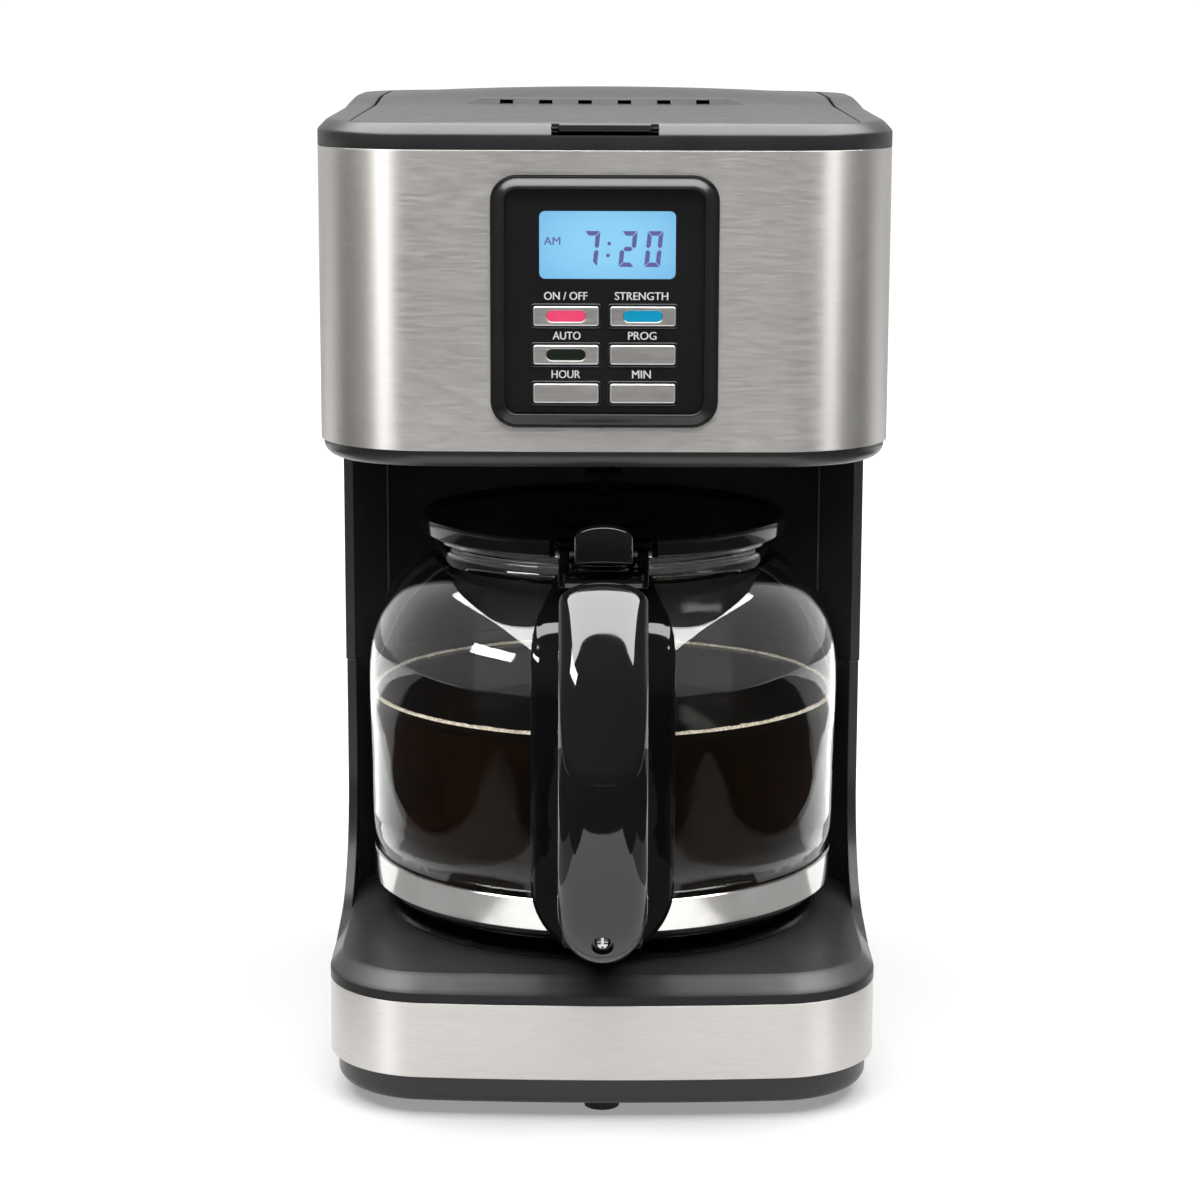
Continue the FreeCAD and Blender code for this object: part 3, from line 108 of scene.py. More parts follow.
def rounded(pts, radii, seg=5):
    """Closed polygon with its corners rounded."""
    out, n = [], len(pts)
    for i, p in enumerate(pts):
        r = radii[i] if isinstance(radii, (list, tuple)) else radii
        a, b = Vector(pts[i - 1]), Vector(pts[(i + 1) % n])
        p = Vector(p)
        if r <= 0:
            out.append(tuple(p))
            continue
        u, w = (a - p), (b - p)
        lu, lw = u.length, w.length
        u.normalize(); w.normalize()
        half = u.angle(w) / 2
        if half > math.radians(88.5):
            out.append(tuple(p))
            continue
        run = min(r / math.tan(half), 0.48 * lu, 0.48 * lw)
        r = run * math.tan(half)
        c = p + (u + w).normalized() * (r / math.sin(half))
        s, e = p + u * run - c, p + w * run - c
        ang = s.angle_signed(e)
        for k in range(seg + 1):
            t = -ang * k / seg
            out.append((c.x + s.x * math.cos(t) - s.y * math.sin(t), c.y + s.x * math.sin(t) + s.y * math.cos(t)))
    return out


def spline(pts, per=8):
    """Smooth open line through points."""
    pts = [Vector(p) for p in pts]
    ext = [2 * pts[0] - pts[1]] + pts + [2 * pts[-1] - pts[-2]]
    out = []
    for i in range(1, len(ext) - 2):
        p0, p1, p2, p3 = ext[i - 1:i + 3]
        d1, d2, d3 = max((p1 - p0).length, 1e-9) ** 0.5, max((p2 - p1).length, 1e-9) ** 0.5, max((p3 - p2).length, 1e-9) ** 0.5
        m1 = ((p1 - p0) / d1 - (p2 - p0) / (d1 + d2) + (p2 - p1) / d2) * d2
        m2 = ((p2 - p1) / d2 - (p3 - p1) / (d2 + d3) + (p3 - p2) / d3) * d2
        for k in range(per):
            t = k / per
            out.append(p1 * (2 * t ** 3 - 3 * t * t + 1) + m1 * (t ** 3 - 2 * t * t + t) + p2 * (3 * t * t - 2 * t ** 3) + m2 * (t ** 3 - t * t))
    out.append(pts[-1])
    return out


def smooth(a, b, x):
    t = max(0.0, min(1.0, (x - a) / (b - a)))
    return t * t * (3 - 2 * t)


def lerp_table(table, x):
    if x <= table[0][0]:
        return table[0][1:]
    for a, b in zip(table, table[1:]):
        if x <= b[0]:
            t = (x - a[0]) / (b[0] - a[0])
            return tuple(p + t * (q - p) for p, q in zip(a[1:], b[1:]))
    return table[-1][1:]


# ------------------------------------------------------------------ finishes
def new_mat(name):
    m = bpy.data.materials.new(name)
    m.use_nodes = True
    nt = m.node_tree
    b = nt.nodes["Principled BSDF"]
    return m, nt, b


def node(nt, kind, **kw):
    n = nt.nodes.new(kind)
    for k, v in kw.items():
        setattr(n, k, v)
    return n


def coords(nt, scale):
    tc = node(nt, "ShaderNodeTexCoord")
    mp = node(nt, "ShaderNodeMapping")
    mp.inputs["Scale"].default_value = scale
    nt.links.new(tc.outputs["Object"], mp.inputs["Vector"])
    return mp.outputs["Vector"]


def grain(nt, vec, scale, detail=3.0, rough=0.55):
    n = node(nt, "ShaderNodeTexNoise")
    n.inputs["Scale"].default_value = scale
    n.inputs["Detail"].default_value = detail
    n.inputs["Roughness"].default_value = rough
    nt.links.new(vec, n.inputs["Vector"])
    return n.outputs["Fac"]


def ramp(nt, fac, lo, hi, c0, c1):
    r = node(nt, "ShaderNodeValToRGB")
    e = r.color_ramp.elements
    e[0].position, e[1].position = lo, hi
    e[0].color, e[1].color = (*c0, 1), (*c1, 1)
    nt.links.new(fac, r.inputs["Fac"])
    return r.outputs["Color"]


def span(nt, fac, lo, hi, a, b):
    r = node(nt, "ShaderNodeMapRange")
    r.inputs["From Min"].default_value, r.inputs["From Max"].default_value = lo, hi
    r.inputs["To Min"].default_value, r.inputs["To Max"].default_value = a, b
    nt.links.new(fac, r.inputs["Value"])
    return r.outputs["Result"]


def bump(nt, b, height, strength, dist, edge=0.0):
    n = node(nt, "ShaderNodeBump")
    n.inputs["Strength"].default_value = strength
    n.inputs["Distance"].default_value = dist
    nt.links.new(height, n.inputs["Height"])
    if edge:
        v = node(nt, "ShaderNodeBevel", samples=4)
        v.inputs["Radius"].default_value = edge
        nt.links.new(v.outputs["Normal"], n.inputs["Normal"])
    nt.links.new(n.outputs["Normal"], b.inputs["Normal"])


def plastic(name, c0, c1, rough, var, size, depth, edge=0.0, spec=0.5, coat=0.0, patch=45.0):
    """Moulded plastic: faint cloudy colour, uneven gloss and a fine mould texture."""
    m, nt, b = new_mat(name)
    vec = coords(nt, (1, 1, 1))
    nt.links.new(ramp(nt, grain(nt, vec, patch, 4.0), 0.35, 0.68, c0, c1), b.inputs["Base Color"])
    nt.links.new(span(nt, grain(nt, vec, patch * 3.1, 5.0, 0.65), 0.3, 0.7, rough - var, rough + var), b.inputs["Roughness"])
    b.inputs["Specular IOR Level"].default_value = spec
    b.inputs["Coat Weight"].default_value = coat
    b.inputs["Coat Roughness"].default_value = 0.03
    bump(nt, b, grain(nt, vec, size, 2.0, 0.6), 0.35, depth, edge)
    return m


def brushed(name, c0, c1, rough, aniso, edge=0.0):
    """Stainless sheet brushed along its length: fine level lines, gloss drawn out across them."""
    m, nt, b = new_mat(name)
    fine = grain(nt, coords(nt, (110, 110, 2800)), 1.0, 3.0, 0.6)
    long_ = grain(nt, coords(nt, (140, 140, 1700)), 1.0, 3.0, 0.6)
    cloud = grain(nt, coords(nt, (1, 1, 1)), 22.0, 3.0)
    mix = node(nt, "ShaderNodeMath", operation="MULTIPLY_ADD")
    nt.links.new(fine, mix.inputs[0])
    mix.inputs[1].default_value = 0.6
    nt.links.new(long_, mix.inputs[2])
    nt.links.new(ramp(nt, mix.outputs[0], 0.48, 1.12, c0, c1), b.inputs["Base Color"])
    add = node(nt, "ShaderNodeMath", operation="MULTIPLY_ADD")
    nt.links.new(cloud, add.inputs[0])
    add.inputs[1].default_value = 0.35
    nt.links.new(long_, add.inputs[2])
    nt.links.new(span(nt, add.outputs[0], 0.4, 0.95, rough - 0.05, rough + 0.05), b.inputs["Roughness"])
    b.inputs["Metallic"].default_value = 1.0
    b.inputs["Anisotropic"].default_value = aniso
    b.inputs["Anisotropic Rotation"].default_value = 0.25
    t = node(nt, "ShaderNodeTangent", direction_type="RADIAL", axis="Z")
    nt.links.new(t.outputs["Tangent"], b.inputs["Tangent"])
    bump(nt, b, mix.outputs[0], 0.04, 0.00003, edge)
    return m


def metal(name, c0, c1, rough, size=400.0, depth=0.00002, edge=0.0):
    m, nt, b = new_mat(name)
    vec = coords(nt, (1, 1, 1))
    nt.links.new(ramp(nt, grain(nt, vec, 60.0, 4.0), 0.3, 0.7, c0, c1), b.inputs["Base Color"])
    nt.links.new(span(nt, grain(nt, vec, 180.0, 5.0), 0.3, 0.7, rough * 0.75, rough * 1.25), b.inputs["Roughness"])
    b.inputs["Metallic"].default_value = 1.0
    bump(nt, b, grain(nt, vec, size, 2.0), 0.3, depth, edge)
    return m


def lamp(name, dark, bright, power, body, axis_scale=(900, 0, 0)):
    """Lens over a lamp: fluted, brighter in its middle."""
    m, nt, b = new_mat(name)
    w = node(nt, "ShaderNodeTexWave", wave_type="BANDS", bands_direction="X")
    w.inputs["Scale"].default_value = 1.0
    w.inputs["Distortion"].default_value = 1.2
    w.inputs["Detail"].default_value = 1.0
    nt.links.new(coords(nt, axis_scale), w.inputs["Vector"])
    col = ramp(nt, w.outputs["Fac"], 0.05, 0.8, dark, bright)
    nt.links.new(ramp(nt, w.outputs["Fac"], 0.05, 0.8, tuple(c * 0.7 for c in body), body), b.inputs["Base Color"])
    nt.links.new(col, b.inputs["Emission Color"])
    b.inputs["Emission Strength"].default_value = power
    b.inputs["Roughness"].default_value = 0.16
    bump(nt, b, w.outputs["Fac"], 0.25, 0.0001)
    return m


M = {}
M["steel"] = brushed("brushed_steel", (0.62, 0.595, 0.57), (0.685, 0.66, 0.635), 0.40, 0.72, 0.0003)
M["bright"] = metal("bright_steel", (0.70, 0.685, 0.66), (0.78, 0.765, 0.745), 0.11, 120.0, 0.00002)
M["satin"] = plastic("black_satin", (0.016, 0.016, 0.0167), (0.0195, 0.0195, 0.0202), 0.30, 0.02, 2600.0, 0.00003)
M["deck"] = plastic("black_deck", (0.0145, 0.0145, 0.0151), (0.0175, 0.0175, 0.0182), 0.30, 0.02, 2600.0, 0.00004, 0.0006)
M["lid"] = plastic("black_lid", (0.014, 0.014, 0.0145), (0.018, 0.018, 0.0185), 0.36, 0.03, 2400.0, 0.00006, 0.0, 0.40)
M["gloss"] = plastic("black_gloss", (0.0035, 0.0035, 0.0038), (0.005, 0.005, 0.0053), 0.045, 0.018, 55.0, 0.00003, 0.0, 0.66, 0.0, 30.0)
M["pot_lid"] = plastic("black_pot_lid", (0.004, 0.004, 0.0043), (0.006, 0.006, 0.0063), 0.10, 0.02, 300.0, 0.000004)
M["panel"] = plastic("panel_black", (0.006, 0.006, 0.0065), (0.0085, 0.0085, 0.009), 0.22, 0.03, 3200.0, 0.00003)
M["bezel"] = plastic("bezel_black", (0.008, 0.008, 0.0085), (0.011, 0.011, 0.0115), 0.24, 0.03, 2600.0, 0.00004)
M["button"] = brushed("button_silver", (0.46, 0.44, 0.42), (0.56, 0.54, 0.52), 0.42, 0.55)
M["button_edge_painted_glow"] = metal("button_edge_painted_glow", (0.62, 0.61, 0.60), (0.72, 0.71, 0.70), 0.42, 900.0, 0.00001)
# painted highlight: the bevel round each button's face gets a grey glow, standing in for the light line along its edge
M["button_edge_painted_glow"].node_tree.nodes["Principled BSDF"].inputs["Emission Color"].default_value = (0.20, 0.20, 0.20, 1)
M["button_edge_painted_glow"].node_tree.nodes["Principled BSDF"].inputs["Emission Strength"].default_value = 1.0
M["screw"] = metal("screw_bright", (0.55, 0.545, 0.53), (0.68, 0.675, 0.66), 0.24, 900.0, 0.00002)
M["red"] = lamp("lamp_red", (0.60, 0.020, 0.08), (0.88, 0.12, 0.26), 0.90, (0.16, 0.004, 0.012))
M["blue"] = lamp("lamp_blue", (0.0, 0.20, 0.38), (0.005, 0.37, 0.60), 0.92, (0.002, 0.030, 0.055))
M["dark"] = lamp("lamp_unlit", (0.006, 0.010, 0.007), (0.016, 0.032, 0.018), 0.35, (0.006, 0.008, 0.007))
M["enamel"] = plastic("plate_enamel", (0.006, 0.006, 0.006), (0.010, 0.010, 0.010), 0.16, 0.04, 900.0, 0.00003)
M["rubber"] = plastic("black_rubber", (0.010, 0.010, 0.010), (0.016, 0.016, 0.016), 0.62, 0.08, 1500.0, 0.0001)
M["seal"] = plastic("silicone_black", (0.008, 0.008, 0.008), (0.012, 0.012, 0.012), 0.24, 0.05, 900.0, 0.00004)
# painted shade: near-black finish for the drip-stop plunger, its seal and its steel spring, so they sit as dark as the
# shade in the bay under the head
M["shade"] = plastic("painted_shade_black", (0.0035, 0.0035, 0.0037), (0.005, 0.005, 0.0052), 0.5, 0.05, 1800.0, 0.00004, 0.0, 0.12)
M["grey"] = plastic("grey_plastic", (0.20, 0.20, 0.205), (0.26, 0.26, 0.265), 0.45, 0.06, 1800.0, 0.00005, 0.0004)
M["inner"] = plastic("inner_black", (0.012, 0.012, 0.0125), (0.018, 0.018, 0.0185), 0.40, 0.06, 2200.0, 0.00008, 0.0005)
M["tank"] = plastic("tank_plastic", (0.34, 0.35, 0.36), (0.42, 0.43, 0.44), 0.34, 0.05, 1200.0, 0.00004, 0.0004)
M["silicone"] = plastic("silicone_hose", (0.62, 0.61, 0.57), (0.72, 0.71, 0.68), 0.42, 0.06, 900.0, 0.00005)
M["alu"] = metal("aluminium", (0.66, 0.67, 0.68), (0.76, 0.77, 0.78), 0.34, 700.0, 0.00003)
M["zinc"] = metal("zinc_steel", (0.50, 0.50, 0.49), (0.64, 0.64, 0.63), 0.28, 900.0, 0.00002)
M["board"] = plastic("board_green", (0.010, 0.070, 0.028), (0.016, 0.105, 0.040), 0.32, 0.06, 600.0, 0.00005)
M["parts"] = plastic("component_dark", (0.016, 0.016, 0.018), (0.035, 0.034, 0.036), 0.42, 0.08, 1500.0, 0.00005, 0.0003)


def by_height(nt, socket, levels):
    """Value that follows the height above the floor; levels is a list of (z in mm, value)."""
    tc = node(nt, "ShaderNodeTexCoord")
    sp = node(nt, "ShaderNodeSeparateXYZ")
    nt.links.new(tc.outputs["Object"], sp.inputs["Vector"])
    z0, z1 = levels[0][0], levels[-1][0]
    t = span(nt, sp.outputs["Z"], z0 / 1000.0, z1 / 1000.0, 0.0, 1.0)
    r = node(nt, "ShaderNodeValToRGB")
    e = r.color_ramp.elements
    while len(e) < len(levels):
        e.new(0.5)
    for k, (z, v) in enumerate(levels):
        e[k].position = (z - z0) / (z1 - z0)
        e[k].color = (v, v, v, 1)
    nt.links.new(t, r.inputs["Fac"])
    nt.links.new(r.outputs["Color"], socket)


def glass(name, colour, rough, ior, levels=None):
    """Clear glass; levels thins its gloss by height, where dark coffee stands behind it."""
    m, nt, b = new_mat(name)
    vec = coords(nt, (1, 1, 1))
    nt.links.new(ramp(nt, grain(nt, vec, 18.0, 2.0), 0.3, 0.7, colour, tuple(min(1.0, c * 1.012) for c in colour)), b.inputs["Base Color"])
    nt.links.new(span(nt, grain(nt, vec, 90.0, 4.0), 0.35, 0.7, rough * 0.5, rough * 1.5), b.inputs["Roughness"])
    b.inputs["Transmission Weight"].default_value = 1.0
    b.inputs["IOR"].default_value = ior
    if levels:
        t = node(nt, "ShaderNodeMath", operation="MULTIPLY")
        t.inputs[1].default_value = 2.0
        by_height(nt, t.inputs[0], [(z, v / 2.0) for z, v in levels])
        nt.links.new(t.outputs[0], b.inputs["IOR"])
    bump(nt, b, grain(nt, vec, 24.0, 1.0), 0.06, 0.0002)
    return m


M["guard"] = plastic("black_guard", (0.0022, 0.0022, 0.0024), (0.0034, 0.0034, 0.0036), 0.05, 0.018, 55.0, 0.00003, 0.0, 0.5, 0.0, 30.0)
by_height(M["guard"].node_tree, M["guard"].node_tree.nodes["Principled BSDF"].inputs["Specular IOR Level"], [(56, 0.05), (140, 0.05), (152, 0.5), (177, 0.5), (183, 0.10), (200, 0.12)])
gn = M["guard"].node_tree
rim = node(gn, "ShaderNodeSeparateXYZ")
gn.links.new(node(gn, "ShaderNodeTexCoord").outputs["Object"], rim.inputs["Vector"])
side = node(gn, "ShaderNodeMath", operation="ABSOLUTE")
gn.links.new(rim.outputs["X"], side.inputs[0])
most = node(gn, "ShaderNodeMath", operation="MAXIMUM")
gn.links.new(gn.nodes["Principled BSDF"].inputs["Specular IOR Level"].links[0].from_socket, most.inputs[0])
gn.links.new(span(gn, side.outputs[0], 0.0226, 0.0240, 0.0, 0.45), most.inputs[1])
gn.links.new(most.outputs[0], gn.nodes["Principled BSDF"].inputs["Specular IOR Level"])
by_height(M["deck"].node_tree, M["deck"].node_tree.nodes["Principled BSDF"].inputs["Specular IOR Level"],
          [(40, 0.10), (44.2, 0.10), (45.2, 0.5), (47.6, 0.5), (48.4, 0.22), (60, 0.25), (90, 0.4)])
M["glass"] = glass("carafe_clear", (0.975, 0.985, 0.98), 0.004, 1.47, [(56, 1.47), (74, 1.45), (84, 1.20), (118, 1.20), (132, 1.38), (150, 1.47), (200, 1.47)])
M["window"] = glass("lcd_glass", (0.97, 0.975, 0.985), 0.02, 1.46)


def backlight():
    """Blue display: brightest in the middle, deeper towards its edges."""
    m, nt, b = new_mat("lcd_backlight")
    tc = node(nt, "ShaderNodeTexCoord")
    mp = node(nt, "ShaderNodeMapping")
    mp.inputs["Location"].default_value = (-0.0009 / 0.028, 0, -0.2970 / 0.0165)
    mp.inputs["Scale"].default_value = (1 / 0.028, 0.0, 1 / 0.0165)
    nt.links.new(tc.outputs["Object"], mp.inputs["Vector"])
    g = node(nt, "ShaderNodeTexGradient", gradient_type="SPHERICAL")
    nt.links.new(mp.outputs["Vector"], g.inputs["Vector"])
    col = ramp(nt, g.outputs["Fac"], 0.0, 0.62, (0.20, 0.55, 0.88), (0.27, 0.68, 0.97))
    nt.links.new(col, b.inputs["Emission Color"])
    nt.links.new(ramp(nt, g.outputs["Fac"], 0.0, 0.62, (0.012, 0.030, 0.05), (0.016, 0.036, 0.055)), b.inputs["Base Color"])
    b.inputs["Specular IOR Level"].default_value = 0.1
    b.inputs["Emission Strength"].default_value = 0.95
    b.inputs["Roughness"].default_value = 0.5
    return m


M["lcd"] = backlight()


def ink(name, c0, c1, glow, body=1.0):
    """Printed or displayed marks; their glow is backlight through the display's figures, and on the white print a
    painted glow.
    """
    m, nt, b = new_mat(name)
    spot = grain(nt, coords(nt, (1, 1, 1)), 900.0, 2.0)
    col = ramp(nt, spot, 0.3, 0.7, c0, c1)
    nt.links.new(ramp(nt, spot, 0.3, 0.7, tuple(c * body for c in c0), tuple(c * body for c in c1)), b.inputs["Base Color"])
    nt.links.new(col, b.inputs["Emission Color"])
    b.inputs["Emission Strength"].default_value = glow
    b.inputs["Roughness"].default_value = 0.5
    return m


# painted highlight: the white print glows faintly on top of its own colour, though it is no lamp
M["print"] = ink("label_white_painted_glow", (0.40, 0.40, 0.40), (0.47, 0.47, 0.47), 0.10)
M["digit"] = ink("display_ink", (0.085, 0.080, 0.33), (0.105, 0.10, 0.38), 0.80, 0.12)


def coffee_mat():
    m, nt, b = new_mat("coffee")
    vec = coords(nt, (1, 1, 1))
    nt.links.new(ramp(nt, grain(nt, vec, 30.0, 3.0), 0.3, 0.75, (0.0035, 0.0018, 0.0008), (0.0075, 0.0036, 0.0014)), b.inputs["Base Color"])
    b.inputs["Roughness"].default_value = 0.03
    b.inputs["IOR"].default_value = 1.33
    by_height(nt, b.inputs["Specular IOR Level"], [(60, 0.15), (125, 0.10), (127.2, 0.45), (137, 0.45)])
    bump(nt, b, grain(nt, vec, 40.0, 1.0), 0.05, 0.0001)
    return m


M["coffee"] = coffee_mat()


def foam_mat():
    m, nt, b = new_mat("coffee_foam")
    vec = coords(nt, (1, 1, 1))
    v = node(nt, "ShaderNodeTexVoronoi")
    v.inputs["Scale"].default_value = 900.0
    nt.links.new(vec, v.inputs["Vector"])
    col = ramp(nt, v.outputs["Distance"], 0.15, 0.75, (0.74, 0.69, 0.59), (0.42, 0.35, 0.26))
    nt.links.new(col, b.inputs["Base Color"])
    nt.links.new(col, b.inputs["Emission Color"])
    # painted light: the foam glows to look lit, since the glass keeps the lamps' direct light off it
    b.inputs["Emission Strength"].default_value = 0.30
    b.inputs["Roughness"].default_value = 0.35
    bump(nt, b, v.outputs["Distance"], 0.5, 0.0003)
    return m


M["foam"] = foam_mat()


def dress(ob, mat):
    ob.data.materials.clear()
    ob.data.materials.append(M[mat])
    return ob


def piece(ob, mat, body, slot=None, *stands_for):
    dress(ob, mat)
    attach(ob, body)
    if stands_for:
        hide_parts(*stands_for)
    return ob


NODE_MAT = {
    "base_pan": "satin", "base_band": "steel", "rubber_feet": "rubber", "base_screws": "zinc", "lower_housing": "deck", "cord_gland": "rubber",
    "upper_housing": "satin", "head_wrap": "steel", "top_collar": "lid", "inner_deck": "inner", "lid": "lid", "lid_hinge_pins": "zinc",
    # the drip-stop plunger, seal and spring take the painted-shade black
    "spray_head": "grey", "brew_basket": "inner", "drip_stop_plunger": "shade", "drip_stop_seal": "shade", "drip_stop_spring": "shade",
    "water_tank": "tank", "check_valve_body": "grey", "check_valve_ball": "zinc", "cold_water_hose": "silicone", "heater_tube": "alu",
    "heating_element": "zinc", "riser_hose": "silicone", "heat_spreader": "alu", "heater_clamp": "zinc", "clamp_screw": "zinc",
    "thermostat": "alu", "thermal_fuse": "silicone", "hot_plate_seal": "seal", "hot_plate": "enamel", "power_board": "board",
    "power_components": "parts", "panel_bezel": "bezel", "panel_plate": "panel", "lcd_window": "window", "lcd_module": "lcd",
    "button_on_off": "button", "button_strength": "button", "button_auto": "button", "button_program": "button", "button_hour": "button",
    "button_minute": "button", "led_on_off": "red", "led_strength": "blue", "led_auto": "dark", "control_board": "board",
    "tact_switches": "parts", "board_screws": "zinc", "carafe_glass": "glass", "carafe_band": "bright", "handle_body": "gloss",
    "handle_cover": "gloss", "handle_screw": "zinc", "carafe_lid": "pot_lid", "lid_thumb_lever": "gloss", "carafe_lid_pin": "zinc",
}
for n, m in NODE_MAT.items():
    dress(N[n], m)

# ------------------------------------------------------------------ grip cover
FRONT = [(-2.4, 188.0, 7.0), (-7.4, 184.5, 8.0), (-14.0, 178.0, 9.2), (-20.9, 169.5, 9.6), (-27.0, 160.5, 9.6), (-31.3, 151.0, 9.6),
         (-34.6, 141.0, 9.6), (-36.7, 131.0, 9.6), (-37.7, 121.0, 9.6), (-38.0, 112.0, 9.6), (-37.7, 102.0, 9.6), (-36.2, 90.0, 9.6),
         (-32.4, 77.5, 9.2), (-25.6, 67.0, 8.0), (-15.8, 60.2, 6.2), (-5.0, 57.3, 4.8), (4.0, 56.6, 4.4)]


class Line:
    """A smooth line in side view, walked by its length."""

    def __init__(self, pts, per=14):
        self.p = spline([(y, z, 0) for y, z in pts], per)
        self.s = [0.0]
        for a, b in zip(self.p, self.p[1:]):
            self.s.append(self.s[-1] + (b - a).length)
        self.length = self.s[-1]

    def at(self, s):
        s = max(0.0, min(self.length, s))
        lo, hi = 0, len(self.s) - 1
        while hi - lo > 1:
            mid = (lo + hi) // 2
            if self.s[mid] <= s:
                lo = mid
            else:
                hi = mid
        t = (s - self.s[lo]) / max(1e-9, self.s[hi] - self.s[lo])
        p = self.p[lo].lerp(self.p[hi], t)
        return p.x, p.y

    def frame(self, s):
        """Point and the direction towards the inside of the loop."""
        (ya, za), (yb, zb) = self.at(s - 0.6), self.at(s + 0.6)
        d = math.hypot(yb - ya, zb - za)
        y, z = self.at(s)
        return y, z, -(zb - za) / d, (yb - ya) / d


outer = Line([(y, z) for y, z, t in FRONT])
thick = []
for y, z, t in FRONT:
    best = min(range(len(outer.p)), key=lambda i: (outer.p[i].x - y) ** 2 + (outer.p[i].y - z) ** 2)
    thick.append((outer.s[best], t))


def s_of(z):
    """Length along the outer line where it passes height z."""
    return min(zip(outer.s, outer.p), key=lambda q: abs(q[1].y - z))[0]


def grip_cover():
    sh = Shape()
    end = s_of(59.6)
    start_taper = end - 31.0
    w0, m = 14.7, 40
    rows = []
    stations = [0.0, 0.25, 0.6, 1.1, 1.8, 2.8] + [4.5 + i * (start_taper - 5.0) / 70 for i in range(71)]
    stations += [start_taper + 31.0 * math.sin(math.pi / 2 * i / 26) for i in range(1, 27)]
    for s in stations:
        t = lerp_table(thick, s)[0]
        u = max(0.0, (s - start_taper) / 31.0)
        w = w0 * math.sqrt(max(0.0, 1 - u ** 2.2)) + 0.02
        top = max(0.0, 1 - s / 2.8)
        sink = 2.0 * (1 - math.sqrt(max(0.0, 1 - top * top)))
        tip = max(0.0, (u - 0.80) / 0.20)
        sink += (t - 1.2) * (1 - math.sqrt(max(0.0, 1 - tip * tip)))
        bulge = max(0.05, (t - 0.9 - sink))
        w -= 1.4 * (1 - math.sqrt(max(0.0, 1 - top * top)))
        row = []
        for j in range(m + 1):
            ph = -math.pi / 2 + math.pi * j / m
            sx, cx = math.sin(ph), math.cos(ph)
            k = 2 / 2.25
            x = w * math.copysign(abs(sx) ** k, sx)
            d = sink + bulge * (1 - cx ** k)
            ss = s + 3.2 * (x / w0) ** 2 * max(0.0, 1 - s / 30.0)
            y, z, ny, nz = outer.frame(ss)
            row.append((x, y + ny * d, z + nz * d))
        y, z, ny, nz = outer.frame(s + 3.2 * max(0.0, 1 - s / 30.0))
        for x, d in ((w, t - 0.35), (w - 0.25, t - 0.05), (w * 0.5, t), (0.0, t), (-w * 0.5, t), (-(w - 0.25), t - 0.05), (-w, t - 0.35)):
            row.append((x, y + ny * d, z + nz * d))
        rows.append(row)
    sh.grid(rows, True, True, True)
    return sh.done("grip_cover", 40.0)


def with_recess(ob):
    """Screw recess through the lower end of the cover."""
    bpy.ops.mesh.primitive_cylinder_add(vertices=64, radius=0.0038, depth=0.030, location=P(0, -38.3, 71.0), rotation=(math.pi / 2, 0, 0))
    tool = bpy.context.active_object
    mod = ob.modifiers.new("recess", "BOOLEAN")
    mod.operation, mod.solver, mod.object = "DIFFERENCE", "EXACT", tool
    bpy.context.view_layer.update()
    dg = bpy.context.evaluated_depsgraph_get()
    me = bpy.data.meshes.new_from_object(ob.evaluated_get(dg))
    ob.modifiers.clear()
    ob.data = me
    bpy.data.objects.remove(tool)
    me.shade_smooth()
    me.set_sharp_from_angle(angle=math.radians(40))
    return ob


cover = with_recess(grip_cover())
piece(cover, "gloss", "carafe", "black_gloss", "handle_cover")

# ------------------------------------------------------------------ grip core, knuckle guard and hinge lugs
INNER = [(31.0, 171.5), (22.0, 171.8), (12.0, 171.0), (3.0, 167.6), (-4.8, 161.8), (-10.8, 153.5), (-14.8, 143.5), (-17.0, 132.0),
         (-17.9, 120.0), (-18.0, 108.0), (-17.4, 97.0), (-14.8, 87.0), (-9.6, 78.6), (-2.0, 73.6), (7.0, 72.0), (20.3, 72.0)]
GUARD = [(83.9, 56.0), (83.9, 73.0), (85.2, 82.0), (85.3, 100.0), (85.7, 118.0), (85.9, 137.0), (85.2, 145.6), (83.2, 154.2),
         (79.6, 162.0), (73.9, 169.8), (67.2, 175.6), (62.8, 178.6)]


